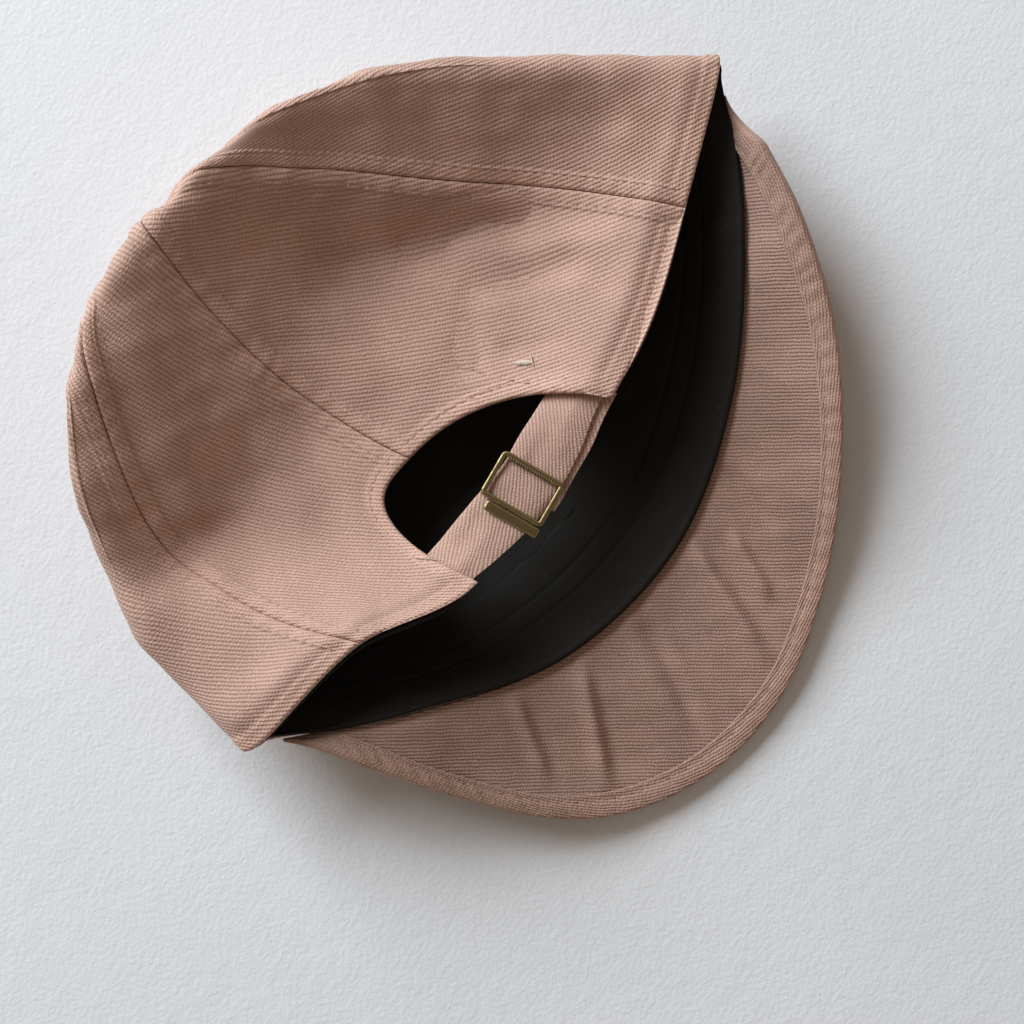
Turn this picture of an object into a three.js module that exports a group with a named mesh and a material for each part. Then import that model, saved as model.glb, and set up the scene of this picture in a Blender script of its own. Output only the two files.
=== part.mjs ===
// A soft six-panel cap with a short brim, lying collapsed on its front with its back side up.
// Millimetres. The brim points to -Y, the far fold of the crown to +Y, and the floor is z = 0.
import * as THREE from "three";

// Crown sizes
const halfWidth = 133; // centre line to a folded corner of the head opening
const crownReach = 119; // corner line to the far fold
const ridgeHeight = 64; // floor to the highest fold
const clothThick = 1.6;
const panelGap = 0.9; // between two panels, at their seam
const seamGap = 0.3; // between any two layers
const foldHalf = 5.5; // half the height of the rounded fold along each side
const foldBack = 5; // how far that rounding reaches in from the fold
const farBulge = 6; // how far the crown's far end bulges past its crest and tip
const tipHole = 4; // cloth left out round the point where the panels meet
const rimRollDrop = 3; // how far the back rim rolls down
const rimRollWide = 12; // over this length of cloth

// Rear opening and strap
const archWidth = 72;
const archHeight = 50;
const archSquare = 2.6; // 2 is an ellipse, more is squarer
const strapWidth = 20;
const strapThick = 1.4;
const strapInset = 3; // strap edge to the rim
const strapGap = 1.6; // between the crown's inner face and the strap
const strapUnderCrown = 9; // how far each strap end reaches below the crown
const strapSag = 1; // how much lower the strap lies at its middle
const strapBow = 4; // how far it bows out towards the rim there
const tailShare = [0.2, 0.5]; // the doubled end's run, as shares of the strap's run
const tailShift = 2.5; // the doubled end lies this much off the strap's line

// Buckle
const buckleAcross = 22.5;
const buckleAlong = 16;
const buckleBar = 1.8;
const buckleThick = 1.5;
const plateAlong = 3.4;
const plateAcross = 19;
const buckleClear = 0.8; // off the strap's face, which bends a little under the buckle
const plateThick = 0.9;
const buckleTurn = THREE.MathUtils.degToRad(6);
const buckleShare = 0.5; // share of the strap's visible run, from its right end

// Inside
const bandWidth = 34;
const bandThick = 1.1;
const liningThick = 0.9;
const looseGap = 1.2; // band and lining lie loose on the panels
const liningReach = 118; // from the rim, along the cloth

// Brim
const brimReach = 61; // deepest point of the brim, from the seam
const brimThick = 1.7;
const bindingWidth = 8;
const bindingThick = 0.9;
const bindingGap = 0.5; // between the brim and the tape folded round it
const endClear = 2.2; // from the seam to the tape's lips, where the brim is shorter than they are

// Mesh fineness
const panelColumns = 8;
const sideColumns = 16;
const panelAlong = 20;
const brimSteps = 44;
const brimRows = 5;

// Sections of the crown, one row for each seam or panel middle, going round the rim.
// Each place is x, y, z as shares of halfWidth, crownReach and ridgeHeight.
// The cloth runs from the rim through low, mid, brow and crest to the crown's tip.
const crownSections = [
  { at: "seamFront", rim: [-0.02, -0.64, 0.09], low: [-0.03, -0.2, -0.02], mid: [-0.05, 0.25, -0.04],
    brow: [-0.07, 0.62, -0.02], crest: [-0.08, 0.88, 0.06] },
  { at: "frontRight", rim: [0.37, -0.53, 0.18], low: [0.36, -0.16, 0.01], mid: [0.31, 0.26, -0.03],
    brow: [0.2, 0.62, -0.01], crest: [0.04, 0.87, 0.08] },
  { at: "seamFrontRight", rim: [0.71, -0.3, 0.32], low: [0.69, 0.0, 0.17], mid: [0.56, 0.34, 0.12],
    brow: [0.38, 0.65, 0.12], crest: [0.14, 0.88, 0.22] },
  { at: "foldRight", rim: [1.0, 0.0, 0.46], low: [0.81, 0.28, 0.61], mid: [0.6, 0.59, 0.79],
    brow: [0.4, 0.78, 0.88], crest: [0.21, 0.895, 0.89] },
  { at: "seamBackRight", rim: [0.65, -0.15, 0.6], low: [0.525, 0.15, 0.47], mid: [0.38, 0.42, 0.52],
    brow: [0.23, 0.7, 0.69], crest: [0.05, 0.94, 0.96] },
  { at: "backRight", rim: [0.34, -0.25, 0.66], low: [0.23, 0.06, 0.45], mid: [0.1, 0.44, 0.42],
    brow: [0.04, 0.7, 0.63], crest: [-0.01, 0.935, 0.97] },
  { at: "seamBack", rim: [-0.08, -0.28, 0.64], low: [-0.2, 0.03, 0.4], mid: [-0.23, 0.42, 0.4],
    brow: [-0.19, 0.7, 0.66], crest: [-0.11, 0.96, 0.97] },
  { at: "backLeft", rim: [-0.39, -0.24, 0.7], low: [-0.43, 0.05, 0.43], mid: [-0.44, 0.38, 0.42],
    brow: [-0.36, 0.69, 0.7], crest: [-0.26, 0.965, 0.97] },
  { at: "seamBackLeft", rim: [-0.63, -0.09, 0.78], low: [-0.71, 0.18, 0.56], mid: [-0.72, 0.46, 0.49],
    brow: [-0.6, 0.69, 0.75], crest: [-0.375, 0.95, 0.96] },
  { at: "foldLeft", rim: [-1.0, 0.0, 0.58], low: [-0.95, 0.31, 0.5], mid: [-0.83, 0.59, 0.58],
    brow: [-0.69, 0.765, 0.8], crest: [-0.5, 0.9, 0.89] },
  { at: "seamFrontLeft", rim: [-0.73, -0.29, 0.38], low: [-0.77, 0.0, 0.25], mid: [-0.71, 0.33, 0.17],
    brow: [-0.57, 0.64, 0.14], crest: [-0.33, 0.89, 0.22] },
  { at: "frontLeft", rim: [-0.42, -0.55, 0.14], low: [-0.44, -0.17, 0.01], mid: [-0.41, 0.27, -0.03],
    brow: [-0.34, 0.62, -0.01], crest: [-0.2, 0.88, 0.08] },
];
const crownTip = [-0.1, 0.9, 0.2];

// Large folds of the back: each a line in plan, in shares of halfWidth and crownReach, with its
// spread to the left and right of the line, in half widths, and its rise, in ridges, at both ends.
const crownFolds = [
  { name: "trough under the right seam", from: [0.084, 0.53], to: [0.365, 0.226],
    left: 0.065, right: 0.13, rise: [-0.1, -0.09] },
  { name: "roll between that trough and the seam", from: [0.15, 0.76], to: [0.43, 0.24],
    left: 0.05, right: 0.045, rise: [0.02, 0.03] },
  { name: "hollow at the far right", from: [-0.02, 0.84], to: [0.07, 0.62],
    left: 0.07, right: 0.08, rise: [-0.03, -0.04] },
  { name: "crease in the left wall", from: [-0.32, 0.86], to: [-0.6, 0.5],
    left: 0.05, right: 0.04, rise: [0.02, 0.04] },
  { name: "floor of the left hollow", from: [-0.33, 0.38], to: [-0.69, 0.385],
    left: 0.13, right: 0.1, rise: [-0.06, -0.06] },
];

// Edge of the brim from the right corner to the left one, with the seam's run beside it.
// x, y, z are shares of halfWidth, brimReach and ridgeHeight; y counts from the corner line.
const brimEdge = [
  { x: 0.925, y: -0.2, z: 0.46 },
  { x: 0.88, y: -0.46, z: 0.49 },
  { x: 0.79, y: -0.84, z: 0.47 },
  { x: 0.6, y: -1.36, z: 0.36 },
  { x: 0.3, y: -1.84, z: 0.21 },
  { x: 0.05, y: -2.09, z: 0.09 },
  { x: -0.2, y: -2.2, z: 0.05 },
  { x: -0.43, y: -2.12, z: 0.045 },
  { x: -0.62, y: -1.88, z: 0.08 },
  { x: -0.74, y: -1.55, z: 0.16 },
  { x: -0.82, y: -1.08, z: 0.28 },
  { x: -0.88, y: -0.56, z: 0.46 },
  { x: -0.925, y: -0.22, z: 0.62 },
];

const up = new THREE.Vector3(0, 0, 1);

function place(share) {
  return new THREE.Vector3(share[0] * halfWidth, share[1] * crownReach, share[2] * ridgeHeight);
}

// The control rows: the table's sections, with one more row just above and below each side fold,
// so that the cloth turns round the fold with a real radius.
const stations = ["rim", "low", "mid", "brow", "crest"];
const controlRows = [];
const rowOf = {};

function foldNeighbour(section, index, side) {
  return stations.map((station) => {
    const fold = place(section[station]);
    const before = place(crownSections[index - 1][station]);
    const after = place(crownSections[index + 1][station]);
    const inward = before.add(after).multiplyScalar(0.5).sub(fold).normalize();
    return fold.addScaledVector(inward, foldBack).addScaledVector(up, side * foldHalf);
  });
}

crownSections.forEach((section, index) => {
  const own = stations.map((station) => place(section[station]));
  if (!section.at.startsWith("fold")) {
    rowOf[section.at] = controlRows.push(own) - 1;
    return;
  }
  const firstSide = section.at === "foldRight" ? -1 : 1;
  controlRows.push(foldNeighbour(section, index, firstSide));
  rowOf[section.at] = controlRows.push(own) - 1;
  controlRows.push(foldNeighbour(section, index, -firstSide));
});

// Between its crest and its tip the cloth rounds the crown's far end.
function farLip(crest, tip) {
  const drop = Math.max(crest.z - tip.z, 0) / ridgeHeight;
  const lip = crest.clone().lerp(tip, 0.5);
  lip.y += farBulge * Math.sqrt(drop);
  return lip;
}

const rowCount = controlRows.length;
const meridians = controlRows.map((row) => {
  const tip = place(crownTip);
  const points = [...row, farLip(row[row.length - 1], tip), tip];
  const curve = new THREE.CatmullRomCurve3(points, false, "centripetal");
  curve.arcLengthDivisions = 80;
  return curve;
});
const clothLength = meridians.map((curve) => curve.getLength());

// The cloth's length from the rim to the tip at a place round the rim.
function lengthAt(round) {
  const turned = ((round % rowCount) + rowCount) % rowCount;
  const row = Math.floor(turned);
  return THREE.MathUtils.lerp(clothLength[row], clothLength[(row + 1) % rowCount], turned - row);
}

const ringCache = new Map();
function ringAt(share) {
  const key = share.toFixed(5);
  if (!ringCache.has(key)) {
    const points = meridians.map((curve) => curve.getPointAt(Math.min(share, 1)));
    ringCache.set(key, new THREE.CatmullRomCurve3(points, true, "centripetal"));
  }
  return ringCache.get(key);
}

// How far a fold lifts a point, by the point's distance in plan from the fold's line.
function foldRise(fold, point) {
  const start = new THREE.Vector2(fold.from[0] * halfWidth, fold.from[1] * crownReach);
  const run = new THREE.Vector2(fold.to[0] * halfWidth, fold.to[1] * crownReach).sub(start);
  const offset = new THREE.Vector2(point.x, point.y).sub(start);
  const along = THREE.MathUtils.clamp(offset.dot(run) / run.lengthSq(), 0, 1);
  const away = offset.addScaledVector(run, -along);
  const side = run.cross(away) / Math.max(run.length() * away.length(), 1e-6);
  const spread = THREE.MathUtils.lerp(fold.right, fold.left, (1 + side) / 2) * halfWidth;
  const rise = THREE.MathUtils.lerp(fold.rise[0], fold.rise[1], along) * ridgeHeight;
  return rise * Math.exp(-((away.length() / spread) ** 2));
}

// The crown's outer face: a point for a place round the rim and a share up the cloth. The folds and
// the rolled rim are the back's alone, and fade out by the side folds.
function crownPoint(round, share) {
  const turned = ((round % rowCount) + rowCount) % rowCount;
  const point = ringAt(share).getPoint(turned / rowCount);
  const { smoothstep } = THREE.MathUtils;
  const pastRight = smoothstep(turned, rowOf.foldRight, rowOf.foldRight + 1.2);
  const onBack = pastRight * (1 - smoothstep(turned, rowOf.foldLeft - 1.2, rowOf.foldLeft));
  const rises = crownFolds.map((fold) => foldRise(fold, point));
  const roll = rimRollDrop * (1 - smoothstep(share * lengthAt(turned), 0, rimRollWide));
  point.z += onBack * (rises.reduce((sum, rise) => sum + rise, 0) - roll);
  point.z = Math.max(point.z, 0);
  return point;
}

// The outward normal, from the points just beside it.
function crownNormal(round, share) {
  const stepRound = 0.02;
  const stepShare = 0.004;
  const lower = Math.max(share - stepShare, 0);
  const upper = Math.min(share + stepShare, 0.999);
  const alongRound = crownPoint(round + stepRound, share).sub(crownPoint(round - stepRound, share));
  const alongShare = crownPoint(round, upper).sub(crownPoint(round, lower));
  return alongShare.cross(alongRound).normalize();
}

// A point below the crown's outer face by a depth.
function crownInside(round, share, depth) {
  return crownPoint(round, share).addScaledVector(crownNormal(round, share), -depth);
}

// A closed wall between two grids of the same size: its outer face, inner face and four edges.
// The outer face looks along the rows' direction crossed with the columns' direction.
function wallGeometry(outer, inner) {
  const rows = outer.length;
  const columns = outer[0].length;
  const positions = [];
  const triangles = [];
  for (const grid of [outer, inner]) {
    for (const row of grid) {
      for (const point of row) positions.push(point.x, point.y, point.z);
    }
  }
  const innerStart = rows * columns;
  const at = (row, column) => row * columns + column;
  const quad = (a, b, c, d) => triangles.push(a, b, c, a, c, d);
  for (let row = 0; row + 1 < rows; row += 1) {
    for (let column = 0; column + 1 < columns; column += 1) {
      const a = at(row, column);
      const b = at(row, column + 1);
      const c = at(row + 1, column + 1);
      const d = at(row + 1, column);
      quad(a, d, c, b);
      quad(innerStart + a, innerStart + b, innerStart + c, innerStart + d);
    }
  }
  const edge = [];
  for (let column = 0; column + 1 < columns; column += 1) edge.push(at(0, column));
  for (let row = 0; row + 1 < rows; row += 1) edge.push(at(row, columns - 1));
  for (let column = columns - 1; column > 0; column -= 1) edge.push(at(rows - 1, column));
  for (let row = rows - 1; row > 0; row -= 1) edge.push(at(row, 0));
  edge.forEach((here, index) => {
    const next = edge[(index + 1) % edge.length];
    quad(here, next, innerStart + next, innerStart + here);
  });
  const geometry = new THREE.BufferGeometry();
  geometry.setAttribute("position", new THREE.Float32BufferAttribute(positions, 3));
  geometry.setIndex(triangles);
  geometry.computeVertexNormals();
  return geometry;
}

// One closed section carried along a run: rings of points, with a flat cap at each end.
function loftGeometry(rings, flatSection) {
  const sides = flatSection.length;
  const lastRing = (rings.length - 1) * sides;
  const positions = rings.flat().flatMap((point) => [point.x, point.y, point.z]);
  const triangles = [];
  for (let step = 0; step + 1 < rings.length; step += 1) {
    for (let side = 0; side < sides; side += 1) {
      const a = step * sides + side;
      const b = step * sides + ((side + 1) % sides);
      triangles.push(a, b, b + sides, a, b + sides, a + sides);
    }
  }
  for (const [a, b, c] of THREE.ShapeUtils.triangulateShape(flatSection, [])) {
    triangles.push(c, b, a, lastRing + a, lastRing + b, lastRing + c);
  }
  const geometry = new THREE.BufferGeometry();
  geometry.setAttribute("position", new THREE.Float32BufferAttribute(positions, 3));
  geometry.setIndex(triangles);
  geometry.computeVertexNormals();
  return geometry;
}

const plain = (color, roughness, metalness) =>
  new THREE.MeshStandardMaterial({ color, roughness, metalness });
const pinkTwill = () => plain(0xc2a195, 0.92, 0);
const blackCotton = () => plain(0x17171a, 0.85, 0);
const antiqueBrass = () => plain(0x8a7340, 0.42, 1);

function meshOf(name, geometry, material) {
  const mesh = new THREE.Mesh(geometry, material);
  mesh.name = name;
  return mesh;
}

// The arch is a squared ellipse cut up from the rim across the centre back seam.
const archMiddle = rowOf.seamBack + 0.14;
const rimStep = crownPoint(rowOf.backRight, 0).distanceTo(crownPoint(rowOf.backLeft, 0)) / 2;
const archHalf = archWidth / 2 / rimStep;

function archRise(across) {
  return (1 - Math.abs(across) ** archSquare) ** (1 / archSquare);
}

// Where the cloth starts: at the rim, or at the arch's edge.
function edgeShare(round) {
  const across = (round - archMiddle) / archHalf;
  if (Math.abs(across) >= 1) return 0;
  return (archHeight / lengthAt(round)) * archRise(across);
}

// Columns of a panel crowd together at the arch's upright sides.
function archSpread(round) {
  const across = (round - archMiddle) / archHalf;
  if (across <= -1) return archMiddle + archHalf * (across + 1 - Math.PI / 2);
  if (across >= 1) return archMiddle + archHalf * (across - 1 + Math.PI / 2);
  return archMiddle + archHalf * Math.asin(across);
}

function archGather(spread) {
  const across = (spread - archMiddle) / archHalf;
  if (across <= -Math.PI / 2) return archMiddle + archHalf * (across - 1 + Math.PI / 2);
  if (across >= Math.PI / 2) return archMiddle + archHalf * (across + 1 - Math.PI / 2);
  return archMiddle + archHalf * Math.sin(across);
}

// The places round the rim of a panel's columns, seam to seam. A side panel turns over its fold,
// so it has more of them.
function panelRounds(firstSeam, lastSeam) {
  const columns = lastSeam - firstSeam > 2 ? sideColumns : panelColumns;
  const first = archSpread(firstSeam);
  const last = archSpread(lastSeam);
  const share = (column) => first + ((last - first) * column) / columns;
  return Array.from({ length: columns + 1 }, (_, column) => archGather(share(column)));
}

// One crown panel between two seams, a wall of cloth that stops half a gap short of each seam.
function crownPanel(name, firstSeam, lastSeam) {
  const rounds = panelRounds(firstSeam, lastSeam);
  const outer = [];
  const inner = [];
  for (let row = 0; row <= panelAlong; row += 1) {
    const outerRow = [];
    const innerRow = [];
    const rise = row / panelAlong;
    for (let column = 0; column < rounds.length; column += 1) {
      let round = rounds[column];
      const start = edgeShare(round);
      const share = start + (1 - tipHole / lengthAt(round) - start) * rise;
      const spacing = crownPoint(round + 0.05, share).distanceTo(crownPoint(round - 0.05, share)) / 0.1;
      const inset = panelGap / 2 / spacing;
      if (column === 0) round += inset;
      if (column === rounds.length - 1) round -= inset;
      outerRow.push(crownPoint(round, share));
      innerRow.push(crownInside(round, share, clothThick));
    }
    outer.push(outerRow);
    inner.push(innerRow);
  }
  return meshOf(name, wallGeometry(outer, inner), pinkTwill());
}

// A band on the crown's inner face, between two places round the rim and two lengths from it.
// Its columns are the panels' own, so the two layers turn together at the folds.
function insideBand(name, from, to, near, far, across, gap, thick) {
  const rounds = [from];
  for (const turn of [0, rowCount]) {
    for (const [, firstSeam, lastSeam] of panels) {
      const inner = panelRounds(firstSeam, lastSeam).slice(1);
      rounds.push(...inner.map((round) => round + turn).filter((round) => round > from + 0.05));
    }
  }
  const within = rounds.filter((round) => round < to - 0.05);
  within.push(to);
  const outer = [];
  const inner = [];
  for (let row = 0; row <= across; row += 1) {
    const outerRow = [];
    const innerRow = [];
    for (const round of within) {
      const share = (near + ((far - near) * row) / across) / lengthAt(round);
      outerRow.push(crownInside(round, share, clothThick + gap));
      innerRow.push(crownInside(round, share, clothThick + gap + thick));
    }
    outer.push(outerRow);
    inner.push(innerRow);
  }
  return meshOf(name, wallGeometry(outer, inner), blackCotton());
}

// The rim's run along the brim seam, from the right corner to the left one, by its own length.
const seamSteps = 120;
const cornerSkip = 1.2; // rows left free of brim on each side fold
const seamStart = rowOf.foldRight - cornerSkip;
const seamEnd = rowOf.foldLeft + cornerSkip - rowCount;
const seamLengths = [0];
for (let step = 1; step <= seamSteps; step += 1) {
  const here = crownPoint(THREE.MathUtils.lerp(seamStart, seamEnd, step / seamSteps), 0);
  const before = crownPoint(THREE.MathUtils.lerp(seamStart, seamEnd, (step - 1) / seamSteps), 0);
  seamLengths.push(seamLengths[step - 1] + here.distanceTo(before));
}

function seamRound(run) {
  const wanted = run * seamLengths[seamSteps];
  let step = seamLengths.findIndex((length) => length >= wanted);
  step = Math.max(step, 1);
  const share = (wanted - seamLengths[step - 1]) / (seamLengths[step] - seamLengths[step - 1]);
  return THREE.MathUtils.lerp(seamStart, seamEnd, (step - 1 + share) / seamSteps);
}

const brimCurve = new THREE.CatmullRomCurve3(
  brimEdge.map((row) => new THREE.Vector3(row.x * halfWidth, row.y * brimReach, row.z * ridgeHeight)),
  false,
  "centripetal",
);

// The brim's middle layer between the seam and its edge, with the directions out and up from it.
function brimRuling(run) {
  const round = seamRound(run);
  const seam = crownInside(round, 0, clothThick / 2);
  const outward = seam.clone().sub(crownInside(round, 0.03, clothThick / 2)).normalize();
  const root = seam.addScaledVector(outward, 3 * seamGap);
  const edge = brimCurve.getPointAt(run);
  const span = edge.clone().sub(root);
  return { root, edge, out: span.clone().normalize(), length: span.length() };
}

function brimTurn(run) {
  const before = brimRuling(Math.max(run - 0.005, 0));
  const after = brimRuling(Math.min(run + 0.005, 1));
  return after.edge.add(after.root).sub(before.edge).sub(before.root).normalize();
}

function brimFrame(run) {
  const ruling = brimRuling(run);
  const face = brimTurn(run).cross(ruling.out).normalize();
  if (face.z < 0) face.negate();
  return { ...ruling, face };
}

function brim() {
  const upper = [];
  const lower = [];
  for (let row = 0; row <= brimRows; row += 1) {
    const upperRow = [];
    const lowerRow = [];
    for (let step = 0; step <= brimSteps; step += 1) {
      const { root, out, length, face } = brimFrame(step / brimSteps);
      const reach = ((length - bindingThick - bindingGap) * row) / brimRows;
      const middle = root.clone().addScaledVector(out, reach);
      upperRow.push(middle.clone().addScaledVector(face, brimThick / 2));
      lowerRow.push(middle.clone().addScaledVector(face, -brimThick / 2));
    }
    upper.push(upperRow);
    lower.push(lowerRow);
  }
  return meshOf("brim", wallGeometry(lower, upper), pinkTwill());
}

// The tape's section is a U that wraps the brim's edge: across points out, rise along the face.
function bindingSection(width) {
  const inside = brimThick / 2 + bindingGap;
  const outside = inside + bindingThick;
  return [
    [-width, outside],
    [-width, inside],
    [-bindingThick, inside],
    [-bindingThick, -inside],
    [-width, -inside],
    [-width, -outside],
    [-outside / 2, -outside],
    [0, -inside / 2],
    [0, inside / 2],
    [-outside / 2, outside],
  ];
}

function brimBinding() {
  const rings = [];
  for (let step = 0; step <= brimSteps; step += 1) {
    const { edge, out, length, face } = brimFrame(step / brimSteps);
    const section = bindingSection(Math.min(bindingWidth, length - endClear));
    rings.push(section.map(([across, rise]) =>
      edge.clone().addScaledVector(out, across).addScaledVector(face, rise)));
  }
  const flat = bindingSection(bindingWidth).map(([x, y]) => new THREE.Vector2(x, y));
  return meshOf("brim_binding", loftGeometry(rings, flat), pinkTwill());
}

// The strap follows the crown's inner face below each side of the arch. Between them it runs free, and
// turns level across its own width at the middle.
const strapTurnRight = archMiddle - archHalf;
const strapTurnLeft = archMiddle + archHalf;
const strapTuck = strapUnderCrown / rimStep;

const strapDepth = clothThick + strapGap;

function strapCurve(across, depth) {
  const toRim = strapInset + strapWidth / 2;
  const at = (round, aside, down) => crownInside(round, (toRim + aside) / lengthAt(round), down);
  const fromRight = at(strapTurnRight, 0, strapDepth);
  const fromLeft = at(strapTurnLeft, 0, strapDepth);
  const level = fromLeft.clone().sub(fromRight).cross(up).normalize();
  const middle = fromRight.lerp(fromLeft, 0.5).addScaledVector(level, across);
  middle.z -= strapSag + depth - strapDepth;
  middle.y -= strapBow;
  const points = [
    at(strapTurnRight - strapTuck, across, depth),
    at(strapTurnRight, across, depth),
    middle,
    at(strapTurnLeft, across, depth),
    at(strapTurnLeft + strapTuck, across, depth),
  ];
  return new THREE.CatmullRomCurve3(points, false, "centripetal");
}

function strapPiece(name, from, to, shift, layer) {
  const steps = Math.max(Math.round((to - from) * 30), 4);
  const acrossSteps = 4;
  const topDepth = strapDepth + layer * (strapThick + seamGap);
  const top = [];
  const bottom = [];
  for (let row = 0; row <= acrossSteps; row += 1) {
    const across = shift + strapWidth * (row / acrossSteps - 0.5);
    const topCurve = strapCurve(across, topDepth);
    const bottomCurve = strapCurve(across, topDepth + strapThick);
    const topRow = [];
    const bottomRow = [];
    for (let step = 0; step <= steps; step += 1) {
      const share = THREE.MathUtils.lerp(from, to, step / steps);
      topRow.push(topCurve.getPoint(share));
      bottomRow.push(bottomCurve.getPoint(share));
    }
    top.push(topRow);
    bottom.push(bottomRow);
  }
  return meshOf(name, wallGeometry(top, bottom), pinkTwill());
}

// The buckle lies flat on the strap, its length across it.
function buckleMatrix(lift) {
  const curve = strapCurve(0, strapDepth);
  const centre = curve.getPoint(buckleShare);
  const along = curve.getTangent(buckleShare).normalize();
  const side = strapCurve(strapWidth / 2, strapDepth).getPoint(buckleShare);
  const across = side.sub(centre).normalize();
  const face = along.clone().cross(across).normalize();
  if (face.z < 0) face.negate();
  const trueAcross = face.clone().cross(along).normalize();
  const matrix = new THREE.Matrix4().makeBasis(along, trueAcross, face);
  matrix.multiply(new THREE.Matrix4().makeRotationZ(buckleTurn));
  return matrix.setPosition(centre.addScaledVector(face, lift));
}

function roundedPlate(along, across, corner) {
  const shape = new THREE.Shape();
  const x = along / 2;
  const y = across / 2;
  shape.moveTo(-x + corner, -y);
  shape.lineTo(x - corner, -y);
  shape.absarc(x - corner, -y + corner, corner, -Math.PI / 2, 0);
  shape.absarc(x - corner, y - corner, corner, 0, Math.PI / 2);
  shape.absarc(-x + corner, y - corner, corner, Math.PI / 2, Math.PI);
  shape.absarc(-x + corner, -y + corner, corner, Math.PI, 1.5 * Math.PI);
  return shape;
}

function buckleFrame() {
  const outline = roundedPlate(buckleAlong, buckleAcross, 1.2);
  outline.holes.push(roundedPlate(buckleAlong - 2 * buckleBar, buckleAcross - 2 * buckleBar, 0.5));
  const settings = { depth: buckleThick, bevelEnabled: false, curveSegments: 3 };
  const frame = meshOf("buckle_frame", new THREE.ExtrudeGeometry(outline, settings), antiqueBrass());
  frame.applyMatrix4(buckleMatrix(buckleClear));
  return frame;
}

// The lever plate lies in the frame's own plane, just beyond its bar on the strap's fixed side, its
// inner end flush with the frame's.
function bucklePlate() {
  const settings = { depth: plateThick, bevelEnabled: false, curveSegments: 3 };
  const outline = roundedPlate(plateAlong, plateAcross, 0.8);
  const plate = meshOf("buckle_plate", new THREE.ExtrudeGeometry(outline, settings), antiqueBrass());
  const beyond = buckleAlong / 2 + seamGap + plateAlong / 2;
  const slide = new THREE.Matrix4().makeTranslation(beyond, (buckleAcross - plateAcross) / 2, 0);
  plate.applyMatrix4(buckleMatrix(buckleClear).multiply(slide));
  return plate;
}

const panels = [
  ["crown_panel_front_right", rowOf.seamFront, rowOf.seamFrontRight],
  ["crown_panel_side_right", rowOf.seamFrontRight, rowOf.seamBackRight],
  ["crown_panel_back_right", rowOf.seamBackRight, rowOf.seamBack],
  ["crown_panel_back_left", rowOf.seamBack, rowOf.seamBackLeft],
  ["crown_panel_side_left", rowOf.seamBackLeft, rowOf.seamFrontLeft],
  ["crown_panel_front_left", rowOf.seamFrontLeft, rowCount],
];
const cap = new THREE.Group();
for (const [name, firstSeam, lastSeam] of panels) cap.add(crownPanel(name, firstSeam, lastSeam));

const bandClear = strapTuck + 1 / rimStep;
const bandFrom = archMiddle + archHalf + bandClear;
const bandTo = archMiddle - archHalf - bandClear + rowCount;
cap.add(insideBand("sweatband", bandFrom, bandTo, 1, bandWidth, 4, looseGap, bandThick));
const liningFrom = rowOf.seamFrontLeft + seamGap / rimStep;
const liningTo = rowCount + rowOf.seamFrontRight - seamGap / rimStep;
const liningNear = bandWidth + seamGap;
cap.add(insideBand("front_lining", liningFrom, liningTo, liningNear, liningReach, 8, looseGap, liningThick));

cap.add(brim());
cap.add(brimBinding());
cap.add(strapPiece("strap_right", 0, buckleShare + 0.06, 0, 0));
cap.add(strapPiece("strap_left", buckleShare + 0.07, 1, 0, 0));
cap.add(strapPiece("strap_tail", tailShare[0], tailShare[1], -tailShift, 1));
cap.add(buckleFrame());
cap.add(bucklePlate());

// The part's origin is at the middle of its box, on the floor.
const box = new THREE.Box3().setFromObject(cap, true);
const middle = box.getCenter(new THREE.Vector3());
cap.position.set(-middle.x, -middle.y, -box.min.z);

export default cap;
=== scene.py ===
import math
import bpy
import numpy as np
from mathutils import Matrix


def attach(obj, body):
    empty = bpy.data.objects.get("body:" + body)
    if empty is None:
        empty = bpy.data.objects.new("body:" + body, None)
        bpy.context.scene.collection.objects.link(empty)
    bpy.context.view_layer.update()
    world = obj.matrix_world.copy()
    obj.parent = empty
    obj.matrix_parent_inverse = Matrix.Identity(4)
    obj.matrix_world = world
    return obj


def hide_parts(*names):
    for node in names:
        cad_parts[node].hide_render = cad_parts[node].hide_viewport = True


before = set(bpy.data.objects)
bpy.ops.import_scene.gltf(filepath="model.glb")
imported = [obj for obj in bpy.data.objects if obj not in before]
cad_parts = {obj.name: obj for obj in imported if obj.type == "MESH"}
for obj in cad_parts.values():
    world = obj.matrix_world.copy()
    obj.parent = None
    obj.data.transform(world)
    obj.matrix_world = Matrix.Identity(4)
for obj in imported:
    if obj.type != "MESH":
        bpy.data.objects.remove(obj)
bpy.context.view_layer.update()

# Sizes are in millimetres until a mesh is made. The crown's table and the brim's table are in shares.
toMetres = 0.001
frameShift = np.array([0.0, 8.286, 0.0])  # the part's own middle, off the corner line
floorClear = 0.02


def lerp(a, b, share):
    return a + (b - a) * share


# 0 below low, 1 above high, and an even S between
def ease(value, low, high):
    share = np.clip((value - low) / (high - low), 0, 1)
    return share * share * (3 - 2 * share)


# a bell of the given half-width round zero
def bell(value, width):
    return np.exp(-(value / width) ** 2)


def unit(vectors):
    return vectors / np.maximum(np.linalg.norm(vectors, axis=-1, keepdims=True), 1e-9)


# soft waves in space: a sum of sines along seeded directions, each bent a little by the one before
def softWaves(points, wavelength, seed, count=7):
    random = np.random.default_rng(seed)
    total = np.zeros(points.shape[:-1])
    for step in range(count):
        direction = unit(random.normal(size=3)) * (2 * math.pi / wavelength) * random.uniform(0.7, 1.4)
        total = total + np.sin(points @ direction + random.uniform(0, 6.28) + 0.7 * total) / math.sqrt(count)
    return total


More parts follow.
